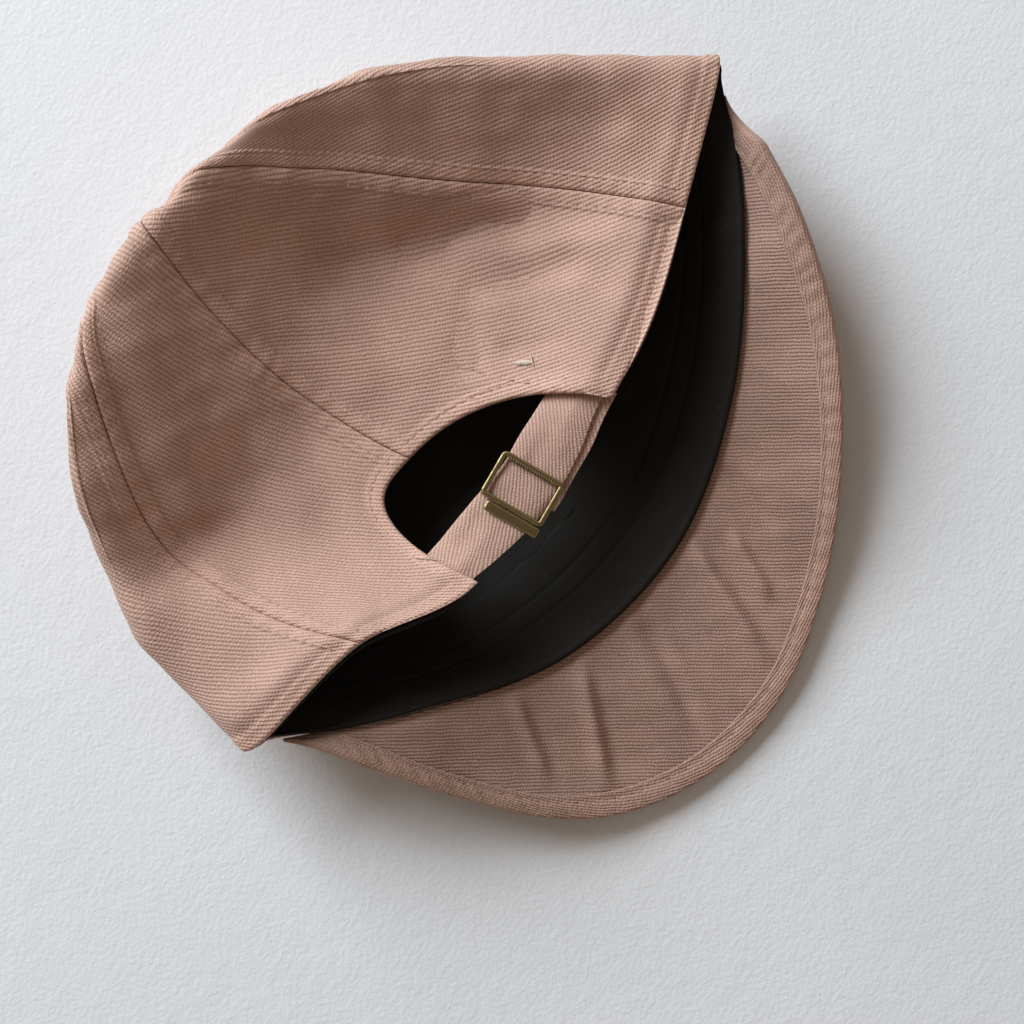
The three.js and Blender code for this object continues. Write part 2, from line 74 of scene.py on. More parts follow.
# the centripetal spline between p1 and p2: a cubic whose slopes weigh each chord by its length's root
def splinePoint(p0, p1, p2, p3, t):
    chords = [np.maximum(np.sqrt(np.linalg.norm(b - a, axis=-1, keepdims=True)), 1e-6)
              for a, b in ((p0, p1), (p1, p2), (p2, p3))]
    d0, d1, d2 = chords
    slope1 = ((p1 - p0) / d0 - (p2 - p0) / (d0 + d1) + (p2 - p1) / d1) * d1
    slope2 = ((p2 - p1) / d1 - (p3 - p1) / (d1 + d2) + (p3 - p2) / d2) * d1
    t = t[..., None]
    return (p1 + slope1 * t + (3 * (p2 - p1) - 2 * slope1 - slope2) * t ** 2
            + (2 * (p1 - p2) + slope1 + slope2) * t ** 3)


# points on an open spline at shares of its run
def openSpline(points, share):
    points = np.asarray(points, float)
    padded = np.concatenate([[2 * points[0] - points[1]], points, [2 * points[-1] - points[-2]]])
    place = np.clip(share, 0, 1) * (len(points) - 1)
    first = np.minimum(place.astype(int), len(points) - 2)
    return splinePoint(padded[first], padded[first + 1], padded[first + 2], padded[first + 3], place - first)


# the length passed at each point of a path
def lengthAlong(points):
    return np.concatenate([[0], np.cumsum(np.linalg.norm(np.diff(points, axis=0), axis=1))])


# the same spline at even steps of its length, and the length
def evenSpline(points, count):
    fine = openSpline(points, np.linspace(0, 1, 2001))
    run = lengthAlong(fine)
    want = np.linspace(0, run[-1], count)
    return np.stack([np.interp(want, run, fine[:, axis]) for axis in range(3)], axis=1), run[-1]


# Points seen from a line in plan: their share of its run, held to the line, their distance from it,
# and how far that lies to its left, from -1 to 1.
def fromLine(point, start, end):
    run = np.array(end) - start
    offset = point[..., :2] - start
    share = np.clip(offset @ run / (run @ run), 0, 1)
    away = offset - share[..., None] * run
    distance = np.linalg.norm(away, axis=-1)
    turned = run[0] * away[..., 1] - run[1] * away[..., 0]
    return share, distance, turned / np.maximum(np.linalg.norm(run) * distance, 1e-6)


# the cloth map: the two directions given, turned so that its first axis runs along the ribs
def leanedMap(first, second, degrees):
    c, s = math.cos(math.radians(degrees)), math.sin(math.radians(degrees))
    return np.stack([first * c + second * s, second * c - first * s], axis=-1)


# quads over a grid of points, rows by columns, joined round either way where asked
def gridFaces(rows, columns, start=0, roundRows=False, roundColumns=False):
    row = np.arange(rows if roundRows else rows - 1)[:, None]
    column = np.arange(columns if roundColumns else columns - 1)[None, :]
    nextRow, nextColumn = (row + 1) % rows, (column + 1) % columns
    corners = [row * columns + column, row * columns + nextColumn,
               nextRow * columns + nextColumn, nextRow * columns + column]
    return np.stack(corners, axis=-1).reshape(-1, 4) + start


# a wall between two grids: both faces, and a strip round their four edges
def wallFaces(rows, columns):
    lower = rows * columns
    outer = gridFaces(rows, columns)
    inner = gridFaces(rows, columns, lower)[:, ::-1]
    edge = np.concatenate([np.arange(columns - 1), np.arange(rows - 1) * columns + columns - 1,
                           (rows - 1) * columns + np.arange(columns - 1, 0, -1),
                           np.arange(rows - 1, 0, -1) * columns])
    after = np.roll(edge, -1)
    strip = np.stack([after, edge, edge + lower, after + lower], axis=-1)
    return np.concatenate([outer, inner, strip])


def signedVolume(points, faces):
    a, b, c, d = (points[faces[:, corner]] for corner in range(4))
    return np.sum(np.cross(a, b) * c) + np.sum(np.cross(a, c) * d)


# puts a closed surface, kept off the floor, into a mesh with its faces outwards, and hands it to the frame
def addPiece(name, points, faces, material, uv, nodes=(), worn=None):
    points = np.stack([points[:, 0], points[:, 1], np.maximum(points[:, 2], floorClear)], axis=-1)
    if signedVolume(points - points.mean(axis=0), faces) < 0:
        faces = faces[:, ::-1]
    mesh = bpy.data.meshes.new(name)
    mesh.vertices.add(len(points))
    mesh.vertices.foreach_set("co", ((points + frameShift) * toMetres).ravel())
    mesh.loops.add(faces.size)
    mesh.polygons.add(len(faces))
    mesh.polygons.foreach_set("loop_start", np.arange(0, faces.size, 4))
    mesh.polygons.foreach_set("vertices", np.ascontiguousarray(faces).ravel())
    mesh.polygons.foreach_set("use_smooth", np.ones(len(faces), bool))
    mesh.update(calc_edges=True)
    layer = mesh.uv_layers.new(name="cloth")
    layer.data.foreach_set("uv", (uv[faces.ravel()] * toMetres).ravel())
    if worn is not None:
        mesh.attributes.new("worn", "FLOAT", "POINT").data.foreach_set("value", worn.ravel())
    mesh.materials.append(material)
    piece = bpy.data.objects.new(name, mesh)
    bpy.context.collection.objects.link(piece)
    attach(piece, "root")
    if nodes:
        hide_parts(*nodes)
    return piece


# a wall of cloth between two grids of points, each face with the same cloth map and wear
def addWall(name, outer, inner, material, uv, node, worn=None):
    points = np.concatenate([outer.reshape(-1, 3), inner.reshape(-1, 3)])
    bothUv = np.concatenate([uv.reshape(-1, 2)] * 2)
    bothWorn = None if worn is None else np.concatenate([worn.ravel()] * 2)
    return addPiece(name, points, wallFaces(*outer.shape[:2]), material, bothUv, [node], bothWorn)


# a node with its settings, and its inputs joined to sockets or set to plain values
def addNode(tree, kind, settings=None, inputs=None):
    node = tree.nodes.new(kind)
    for key, value in (settings or {}).items():
        setattr(node, key, value)
    for key, value in (inputs or {}).items():
        if isinstance(value, bpy.types.NodeSocket):
            tree.links.new(value, node.inputs[key])
        else:
            node.inputs[key].default_value = value
    return node


# the node tree that the first socket among some values belongs to
def treeOf(*values):
    return next(value.id_data for value in values if isinstance(value, bpy.types.NodeSocket))


def calc(operation, *values):
    inputs = dict(enumerate(values))
    return addNode(treeOf(*values), "ShaderNodeMath", {"operation": operation}, inputs).outputs[0]


def plus(first, second):
    return calc("ADD", first, second)


def times(first, second):
    return calc("MULTIPLY", first, second)


def noise(vector, scale, detail=2.0, roughness=0.5):
    inputs = {"Vector": vector, "Scale": scale, "Detail": detail, "Roughness": roughness}
    return addNode(treeOf(vector), "ShaderNodeTexNoise", None, inputs).outputs[0]


def mixColor(factor, first, second, kind="MIX"):
    settings = {"data_type": "RGBA", "blend_type": kind}
    inputs = {0: factor, 6: first, 7: second}
    return addNode(treeOf(factor, first, second), "ShaderNodeMix", settings, inputs).outputs[2]


def span(value, low, high, newLow, newHigh):
    inputs = {0: value, 1: low, 2: high, 3: newLow, 4: newHigh}
    return addNode(treeOf(value), "ShaderNodeMapRange", None, inputs).outputs[0]


# a wave from 0 to 1 along a coordinate counted in its own periods
def wave(coordinate):
    return calc("MULTIPLY_ADD", calc("COSINE", times(coordinate, 2 * math.pi)), 0.5, 0.5)


def newMaterial(name, settings):
    material = bpy.data.materials.new(name)
    material.use_nodes = True
    shader = material.node_tree.nodes["Principled BSDF"]
    for key, value in settings.items():
        shader.inputs[key].default_value = value
    return material, shader


def clothMap(shader):
    return addNode(shader.id_data, "ShaderNodeUVMap", {"uv_map": "cloth"}).outputs[0]


# the cloth map's two axes, counted in periods for each metre
def clothAxes(cloth, perFirst, perSecond):
    inputs = {"Vector": cloth, "Scale": (perFirst, perSecond, 1)}
    scaled = addNode(treeOf(cloth), "ShaderNodeMapping", None, inputs)
    return addNode(treeOf(cloth), "ShaderNodeSeparateXYZ", None, {0: scaled.outputs[0]}).outputs


def placeInSpace(shader):
    return addNode(shader.id_data, "ShaderNodeTexCoord").outputs["Object"]


def wornThere(shader):
    return addNode(shader.id_data, "ShaderNodeAttribute", {"attribute_name": "worn"}).outputs["Fac"]


# joins a colour to the shader, and a bump of the height to its surface
def dressShader(shader, color, height, distance, strength):
    inputs = {"Strength": strength, "Distance": distance, "Height": height}
    bump = addNode(shader.id_data, "ShaderNodeBump", None, inputs).outputs[0]
    shader.id_data.links.new(color, shader.inputs["Base Color"])
    shader.id_data.links.new(bump, shader.inputs["Normal"])


# each look's groove colour, here and in the two looks below, is its rib colour darkened with painted shade
# for the grooves between the ribs
twill = {
    "ribPitch": 1.5e-3, "yarnPitch": 1.05e-3, "ribDepth": 2.5e-4,
    "rib": (0.66, 0.465, 0.39, 1), "groove": (0.4, 0.225, 0.155, 1),
    "wobble": 0.3, "mottle": 0.1, "sheen": 0.3, "sheenTint": (0.95, 0.88, 0.85, 1),
    "yarnStep": 0.37, "yarnShow": 0.34, "fibre": 0.32,  # each rib's yarns lag by the step
}
brimTwill = dict(twill, ribPitch=1.14e-3, yarnPitch=0.98e-3, ribDepth=2.6e-4,
                 rib=(0.535, 0.372, 0.31, 1), groove=(0.29, 0.163, 0.119, 1), wobble=0.35)
bindingTwill = dict(twill, ribPitch=1.0e-3, yarnPitch=1.3e-3, ribDepth=2.4e-4, wobble=0.5,
                    rib=(0.56, 0.385, 0.315, 1), groove=(0.3, 0.17, 0.12, 1))


# Twill: ribs run along the cloth map's first axis. Each rib is a rounded cord across the second one,
# its groove broken by the yarns that cross it, each rib's yarns a little behind its neighbour's.
def twillMaterial(name, look):
    material, shader = newMaterial(name, {
        "Roughness": 0.86, "Sheen Weight": look["sheen"], "Sheen Roughness": 0.45,
        "Sheen Tint": look["sheenTint"], "Specular IOR Level": 0.22})
    cloth = clothMap(shader)
    axes = clothAxes(cloth, 1 / look["yarnPitch"], 1 / look["ribPitch"])
    across = plus(axes[1], times(calc("SUBTRACT", noise(cloth, 240, 2), 0.5), look["wobble"] * 2))
    along = plus(axes[0], times(noise(cloth, 420, 1), 2.2))
    rib = wave(across)
    ribYarn = wave(calc("MULTIPLY_ADD", calc("FLOOR", plus(across, 0.5)), look["yarnStep"], along))
    grooveYarn = wave(calc("MULTIPLY_ADD", calc("FLOOR", across), look["yarnStep"], along))
    onTop = calc("MULTIPLY_ADD", ribYarn, look["yarnShow"], 1 - look["yarnShow"])
    top = times(calc("POWER", rib, 0.6), onTop)
    bridge = times(calc("SUBTRACT", 1.0, rib), times(grooveYarn, look["yarnShow"]))
    height = plus(plus(top, bridge), times(noise(cloth, 2600, 3, 0.65), look["fibre"]))
    # painted shade: the colour darkens from the rib colour on the tops to the groove colour down in the
    # grooves
    color = mixColor(span(height, 0.12, 1.02, 0.0, 1.0), look["groove"], look["rib"])
    patch = noise(placeInSpace(shader), 34, 4, 0.55)
    patch = span(patch, 0.3, 0.7, 1 - look["mottle"], 1 + look["mottle"] * 0.6)
    grain = span(noise(cloth, 900, 2, 0.6), 0.25, 0.75, 0.9, 1.08)
    tone = times(times(patch, grain), calc("MULTIPLY_ADD", wornThere(shader), 0.14, 1.0))
    grey = addNode(shader.id_data, "ShaderNodeCombineColor", None, {0: tone, 1: tone, 2: tone}).outputs[0]
    dressShader(shader, mixColor(1.0, color, grey, "MULTIPLY"), height, look["ribDepth"], 1.0)
    return material


# Black cotton: a fine weave of two crossed waves, with soft rumples and a little lint.
def cottonMaterial(name, fuzz):
    material, shader = newMaterial(name, {
        "Roughness": 0.9, "Sheen Weight": 0.02 + 0.2 * fuzz,
        "Sheen Roughness": 0.5, "Specular IOR Level": 0.1})
    place = placeInSpace(shader)
    axes = clothAxes(clothMap(shader), 1800, 1800)
    weave = times(times(wave(axes[0]), wave(axes[1])), 0.15 * (1 - fuzz))
    rumple = times(noise(place, 60, 4, 0.55), 2.2)
    fluff = times(noise(place, 1400, 4, 0.7), 0.2 + 1.3 * fuzz)
    lint = span(noise(place, 700, 2, 0.5), 0.68, 0.76, 0.0, 0.25)
    color = mixColor(lint, (0.034, 0.032, 0.03, 1), (0.14, 0.13, 0.12, 1))
    dressShader(shader, color, plus(weave, plus(rumple, fluff)), 3.0e-4, 0.8)
    return material


# Antique brass: dull brown metal, brighter where its edges are worn.
def brassMaterial():
    material, shader = newMaterial("antiqueBrass", {"Metallic": 1.0})
    place = placeInSpace(shader)
    cloudy = noise(place, 420, 4, 0.6)
    rubbed = times(wornThere(shader), span(cloudy, 0.3, 0.65, 0.35, 1.0))
    color = mixColor(rubbed, (0.15, 0.108, 0.05, 1), (0.52, 0.41, 0.23, 1))
    shader.id_data.links.new(span(cloudy, 0.3, 0.7, 0.6, 0.42), shader.inputs["Roughness"])
    dressShader(shader, color, noise(place, 1500, 3), 5e-5, 0.25)
    return material


# Thread: two plies twisted round each other, so thin bands lie across it at a slant, darkened with painted
# shade in the grooves between the plies.
def threadMaterial(name, color):
    material, shader = newMaterial(name, {"Roughness": 0.7, "Sheen Weight": 0.15})
    axes = clothAxes(clothMap(shader), 2200, 1000)
    ply = wave(plus(axes[0], axes[1]))
    # painted shade: the grooves between the plies take 0.6 of the thread's colour
    plyGrooveShade = tuple(channel * 0.6 for channel in color) + (1,)
    dressShader(shader, mixColor(ply, plyGrooveShade, color + (1,)), ply, 6e-5, 0.6)
    return material


pinkTwill = twillMaterial("pinkTwill", twill)
brimCloth = twillMaterial("brimTwill", brimTwill)
bindingCloth = twillMaterial("bindingTwill", bindingTwill)
blackCotton = cottonMaterial("blackCotton", 0.0)
blackLining = cottonMaterial("blackLining", 1.0)
antiqueBrass = brassMaterial()
pinkThread = threadMaterial("pinkThread", (0.60, 0.43, 0.37))
blackThread = threadMaterial("blackThread", (0.004, 0.004, 0.005))
creamThread = threadMaterial("creamThread", (0.86, 0.75, 0.61))
print("materials made")


crown = {
    "halfWidth": 133.0, "reach": 119.0, "ridge": 64.0, "cloth": 1.6,
    "foldHalf": 5.5, "foldBack": 5.0, "farBulge": 6.0, "tip": (-0.1, 0.9, 0.2), "tipHole": 0.5,
    "seamHalf": 0.12, "rows": 170, "crowding": 0.55,  # half a seam's gap, and the panels' grids
}
crownSize = np.array([crown["halfWidth"], crown["reach"], crown["ridge"]])

# rim, low, mid, brow and crest of each section, going round the rim
crownSections = {
    "seamFront": [(-0.02, -0.64, 0.09), (-0.03, -0.2, -0.02), (-0.05, 0.25, -0.04), (-0.07, 0.62, -0.02),
                  (-0.08, 0.88, 0.06)],
    "frontRight": [(0.37, -0.53, 0.18), (0.36, -0.16, 0.01), (0.31, 0.26, -0.03), (0.2, 0.62, -0.01),
                   (0.04, 0.87, 0.08)],
    "seamFrontRight": [(0.71, -0.3, 0.32), (0.69, 0.0, 0.17), (0.56, 0.34, 0.12), (0.38, 0.65, 0.12),
                       (0.14, 0.88, 0.22)],
    "foldRight": [(1.0, 0.0, 0.46), (0.81, 0.28, 0.61), (0.6, 0.59, 0.79), (0.4, 0.78, 0.88),
                  (0.21, 0.895, 0.89)],
    "seamBackRight": [(0.65, -0.15, 0.6), (0.525, 0.15, 0.47), (0.38, 0.42, 0.52), (0.23, 0.7, 0.69),
                      (0.05, 0.94, 0.96)],
    "backRight": [(0.34, -0.25, 0.66), (0.23, 0.06, 0.45), (0.1, 0.44, 0.42), (0.04, 0.7, 0.63),
                  (-0.01, 0.935, 0.97)],
    "seamBack": [(-0.08, -0.28, 0.64), (-0.2, 0.03, 0.4), (-0.23, 0.42, 0.4), (-0.19, 0.7, 0.66),
                 (-0.11, 0.96, 0.97)],
    "backLeft": [(-0.39, -0.24, 0.7), (-0.43, 0.05, 0.43), (-0.44, 0.38, 0.42), (-0.36, 0.69, 0.7),
                 (-0.26, 0.965, 0.97)],
    "seamBackLeft": [(-0.63, -0.09, 0.78), (-0.71, 0.18, 0.56), (-0.72, 0.46, 0.49), (-0.6, 0.69, 0.75),
                     (-0.375, 0.95, 0.96)],
    "foldLeft": [(-1.0, 0.0, 0.58), (-0.95, 0.31, 0.5), (-0.83, 0.59, 0.58), (-0.69, 0.765, 0.8),
                 (-0.5, 0.9, 0.89)],
    "seamFrontLeft": [(-0.73, -0.29, 0.38), (-0.77, 0.0, 0.25), (-0.71, 0.33, 0.17), (-0.57, 0.64, 0.14),
                      (-0.33, 0.89, 0.22)],
    "frontLeft": [(-0.42, -0.55, 0.14), (-0.44, -0.17, 0.01), (-0.41, 0.27, -0.03), (-0.34, 0.62, -0.01),
                  (-0.2, 0.88, 0.08)],
}

# Large folds of the back: each a line in plan, in shares of the half width and the reach, with its
# spread to the left and right of the line, in half widths, and its rise, in ridges, at both ends.
crownFolds = [
    {"name": "trough under the right seam", "from": (0.084, 0.53), "to": (0.365, 0.226),
     "left": 0.065, "right": 0.13, "rise": (-0.1, -0.09)},
    {"name": "roll between that trough and the seam", "from": (0.15, 0.76), "to": (0.43, 0.24),
     "left": 0.05, "right": 0.045, "rise": (0.02, 0.03)},
    {"name": "hollow at the far right", "from": (-0.02, 0.84), "to": (0.07, 0.62),
     "left": 0.07, "right": 0.08, "rise": (-0.03, -0.04)},
    {"name": "crease in the left wall", "from": (-0.32, 0.86), "to": (-0.6, 0.5),
     "left": 0.05, "right": 0.04, "rise": (0.02, 0.04)},
    {"name": "floor of the left hollow", "from": (-0.33, 0.38), "to": (-0.69, 0.385),
     "left": 0.13, "right": 0.1, "rise": (-0.06, -0.06)},
]
rimRoll = {"drop": 3.0, "wide": 12.0}  # how far the back rim rolls down, and over what length


# the control rows: each section, and one row more just above and below each side fold
def controlRows():
    names = list(crownSections)
    places = np.array([crownSections[name] for name in names]) * crownSize
    rows, rowOf = [], {}
    for index, name in enumerate(names):
        own = places[index]
        if not name.startswith("fold"):
            rowOf[name] = len(rows)
            rows.append(own)
            continue
        inward = unit((places[index - 1] + places[index + 1]) / 2 - own) * crown["foldBack"]
        lift = np.array([0, 0, crown["foldHalf"]]) * (-1 if name == "foldRight" else 1)
        rowOf[name] = len(rows) + 1
        rows += [own + inward + lift, own, own + inward - lift]
    return rows, rowOf


# between its crest and its tip the cloth rounds the crown's far end
def throughTip(row):
    tip = np.array(crown["tip"]) * crownSize
    crest = row[-1]
    lip = (crest + tip) / 2
    lip[1] += crown["farBulge"] * math.sqrt(max(crest[2] - tip[2], 0) / crown["ridge"])
    return np.concatenate([row, [lip, tip]])


crownRows, rowOf = controlRows()
rowCount = len(crownRows)
tableSteps = 1600
evenRows = [evenSpline(throughTip(row), tableSteps + 1) for row in crownRows]
crownTable = np.stack([points for points, length in evenRows], axis=1)
clothLength = np.array([length for points, length in evenRows])


# the cloth's length from rim to tip at a place round the rim
def lengthAt(turn):
    turned = np.mod(turn, rowCount)
    row = turned.astype(int)
    return lerp(clothLength[row % rowCount], clothLength[(row + 1) % rowCount], turned - row)


# the crown's bare outer surface, above the floor: the table's rows joined by a closed spline, plus folds
def crownPoint(turn, share):
    turn, share = np.broadcast_arrays(np.asarray(turn, float), np.asarray(share, float))
    turned = np.mod(turn, rowCount)
    row = np.minimum(turned.astype(int), rowCount - 1)
    step = np.clip(share, 0, 1) * tableSteps
    lower = np.minimum(step.astype(int), tableSteps - 1)
    mix = (step - lower)[..., None]

    def onRow(offset):
        which = (row + offset) % rowCount
        return lerp(crownTable[lower, which], crownTable[lower + 1, which], mix)

    point = splinePoint(onRow(-1), onRow(0), onRow(1), onRow(2), turned - row)
    onBack = ease(turned, rowOf["foldRight"], rowOf["foldRight"] + 1.2) * (
        1 - ease(turned, rowOf["foldLeft"] - 1.2, rowOf["foldLeft"]))
    for fold in crownFolds:
        along, distance, side = fromLine(point, fold["from"] * crownSize[:2], fold["to"] * crownSize[:2])
        spread = lerp(fold["right"], fold["left"], (1 + side) / 2) * crown["halfWidth"]
        rise = lerp(fold["rise"][0], fold["rise"][1], along) * crown["ridge"]
        point[..., 2] += rise * bell(distance, spread) * onBack
    fromRim = share * lengthAt(turned)
    point[..., 2] -= rimRoll["drop"] * (1 - ease(fromRim, 0, rimRoll["wide"])) * onBack
    point[..., 2] = np.maximum(point[..., 2], 0)
    return point


# the point, the outward normal, and the millimetres that one row takes there
def crownFrame(turn, share):
    turn, share = np.broadcast_arrays(np.asarray(turn, float), np.asarray(share, float))
    stepTurn, stepShare = 0.02, 0.004
    alongRim = crownPoint(turn + stepTurn, share) - crownPoint(turn - stepTurn, share)
    upCloth = (crownPoint(turn, np.minimum(share + stepShare, 0.999))
               - crownPoint(turn, np.maximum(share - stepShare, 0)))
    spacing = np.linalg.norm(alongRim, axis=-1) / (2 * stepTurn)
    return crownPoint(turn, share), unit(np.cross(upCloth, alongRim)), spacing


arch = {"width": 72.0, "height": 50.0, "square": 2.6, "offset": 0.14}
archMiddle = rowOf["seamBack"] + arch["offset"]
rimStep = float(np.linalg.norm(crownPoint(rowOf["backRight"], 0) - crownPoint(rowOf["backLeft"], 0))) / 2
archHalf = arch["width"] / 2 / rimStep


# a squared ellipse, as a share of its height
def archRise(across):
    return np.maximum(1 - np.abs(across) ** arch["square"], 0) ** (1 / arch["square"])


# where the cloth starts: at the rim, or at the arch's edge
def edgeShare(turn):
    across = np.clip((turn - archMiddle) / archHalf, -1, 1)
    return arch["height"] / lengthAt(turn) * archRise(across)


# columns crowd together at the arch's upright sides: sine inside the arch, plain outside
def archSpread(turn):
    across = (turn - archMiddle) / archHalf
    bent = np.where(np.abs(across) < 1, np.arcsin(np.clip(across, -1, 1)),
                    across + np.sign(across) * (math.pi / 2 - 1))
    return archMiddle + archHalf * bent


def archGather(spread):
    across = (spread - archMiddle) / archHalf
    bent = np.where(np.abs(across) < math.pi / 2, np.sin(across),
                    across - np.sign(across) * (math.pi / 2 - 1))
    return archMiddle + archHalf * bent


seams = [rowOf[name] for name in
         ("seamFront", "seamFrontRight", "seamBackRight", "seamBack", "seamBackLeft", "seamFrontLeft")]

relief = {
    "allowance": 5.6, "allowanceRise": 0.7, "groove": 0.7, "grooveWidth": 0.65,
    "stitchAt": 4.7, "stitchDent": 0.28, "pucker": 0.12, "puckerStep": 7.5,
    "hem": 5.6, "hemRise": 0.5, "roll": 1.4, "archStitchAt": 4.2,
    "slack": 0.55, "slackLength": 34.0, "crumple": 0.16, "crumpleLength": 12.0,
}

# creases pressed into the cloth that faces up: from, to, width and rise, in millimetres
creases = [
    {"name": "under the right roll", "from": (27.0, 23.0), "to": (51.0, 3.4), "width": 5.0, "rise": -1.6},
    {"name": "right roll", "from": (37.0, 31.0), "to": (66.0, -4.0), "width": 6.0, "rise": 1.3},
    {"name": "dark trough's floor", "from": (30.0, 47.0), "to": (57.0, 29.0), "width": 8.0, "rise": -3.0},
    {"name": "dent beyond the arch", "from": (17.3, 18.8), "to": (6.8, 11.6), "width": 5.0, "rise": -1.2},
    {"name": "dent by the seam", "from": (18.5, 2.7), "to": (25.1, -4.4), "width": 4.0, "rise": -0.9},
    {"name": "right rim's roll", "from": (79.0, -27.0), "to": (45.0, -38.0), "width": 11.0, "rise": -4.2},
    {"name": "left rim's roll", "from": (-52.0, -26.0), "to": (-70.0, -10.0), "width": 7.0, "rise": -1.6},
    {"name": "left bump", "from": (-114.0, 49.0), "to": (-98.0, 38.0), "width": 10.0, "rise": 3.0},
]


# millimetres from the nearest seam, from the free edge at the rim or the arch, and from the rim
def edgeDistances(turn, share, spacing):
    turned = np.mod(turn, rowCount)
    apart = np.min([np.abs((turned - seam + rowCount / 2) % rowCount - rowCount / 2)
                    for seam in seams], axis=0)
    along = share * lengthAt(turned)
    x = (turned - archMiddle) * rimStep / (arch["width"] / 2)
    y = along / arch["height"]
    power = arch["square"]
    level = (np.abs(x) ** power + y ** power) ** (1 / power)
    slopeX = np.abs(x) ** (power - 1) / (arch["width"] / 2)
    slopeY = y ** (power - 1) / arch["height"]
    slope = np.maximum(level, 1e-3) ** (1 - power) * np.hypot(slopeX, slopeY)
    fromArch = np.maximum(level - 1, 0) / np.maximum(slope, 1e-3)
    return apart * spacing, np.minimum(along, fromArch), along


# How far the cloth stands out of the bare surface: up over the seam allowances and the hem, down into
# the seams and under the stitches, with puckers along both, soft slack everywhere, and the creases.
def clothRise(turn, share, point, normal, spacing):
    fromSeam, fromEdge, along = edgeDistances(turn, share, spacing)
    nearSeam = 1 - ease(fromSeam, relief["allowance"] - 0.5, relief["allowance"] + 0.8)
    nearEdge = 1 - ease(fromEdge, relief["hem"] - 0.5, relief["hem"] + 0.8)
    rise = np.maximum(nearSeam * relief["allowanceRise"], nearEdge * relief["hemRise"])
    rise -= relief["groove"] * bell(fromSeam, relief["grooveWidth"])
    rise -= relief["stitchDent"] * bell(fromSeam - relief["stitchAt"], 0.6)
    rise -= relief["stitchDent"] * bell(fromEdge - relief["archStitchAt"], 0.6) * (fromEdge < along - 0.5)
    beat = np.sin(2 * math.pi * along / relief["puckerStep"] + 2.2 * softWaves(point, 30, 5, 4))
    rise += relief["pucker"] * beat * bell(fromSeam - 2.5, 3.4)
    hemBeat = np.sin(2 * math.pi * turn * 1.9 + 3 * softWaves(point, 24, 9, 4))
    rise += relief["pucker"] * 0.7 * hemBeat * bell(fromEdge - 3, 3.2)
    calm = ease(fromEdge, 0, 16)
    rise += relief["slack"] * softWaves(point, relief["slackLength"], 11) * calm
    rise += relief["crumple"] * softWaves(point, relief["crumpleLength"], 12) * calm
    facing = ease(normal[..., 2], 0.05, 0.4)
    for crease in creases:
        distance = fromLine(point, crease["from"], crease["to"])[1]
        rise += crease["rise"] * bell(distance, crease["width"]) * facing
    drop = relief["roll"] - np.sqrt(np.maximum(relief["roll"] ** 2
                                               - np.maximum(relief["roll"] - fromEdge, 0) ** 2, 0))
    return rise, drop * 0.8, nearSeam, nearEdge


# the cloth's outer face, with its own relief
def clothPoint(turn, share, lift=0.0):
    turn, share = np.asarray(turn, float), np.asarray(share, float)
    point, normal, spacing = crownFrame(turn, share)
    rise, drop, nearSeam, nearEdge = clothRise(turn, share, point, normal, spacing)
    return point + normal * (rise - drop + lift)[..., None], normal


# below the bare surface by a depth
def crownInside(turn, share, depth):
    point, normal = crownFrame(turn, share)[:2]
    return point - normal * np.asarray(depth)[..., None]


# each panel: its name, the seams it lies between, its ribs' lean in degrees and its grid's columns
panels = [
    ("crown_panel_front_right", "seamFront", "seamFrontRight", 60, 130),
    ("crown_panel_side_right", "seamFrontRight", "seamBackRight", 60, 230),
    ("crown_panel_back_right", "seamBackRight", "seamBack", 58, 170),
    ("crown_panel_back_left", "seamBack", "seamBackLeft", 62, 170),
    ("crown_panel_side_left", "seamBackLeft", "seamFrontLeft", 50, 230),
    ("crown_panel_front_left", "seamFrontLeft", "end", 60, 130),
]
rowOf["end"] = rowCount


# millimetres from the panel's middle line, round the crown at one share up the cloth
def acrossPanel(first, last, turn, share):
    turns, shares = np.linspace(first, last, 161), np.linspace(0, 1, 121)
    lattice = crownPoint(turns[None, :], shares[:, None])
    run = np.cumsum(np.linalg.norm(np.diff(lattice, axis=1), axis=-1), axis=1)
    run = np.concatenate([np.zeros((len(shares), 1)), run], axis=1)
    run -= run[:, -1:] / 2
    column = np.clip((turn - first) / (last - first), 0, 1) * (len(turns) - 1)
    row = np.clip(share, 0, 1) * (len(shares) - 1)
    c, r = np.minimum(column.astype(int), len(turns) - 2), np.minimum(row.astype(int), len(shares) - 2)
    lower = lerp(run[r, c], run[r, c + 1], column - c)
    return lerp(lower, lerp(run[r + 1, c], run[r + 1, c + 1], column - c), row - r)


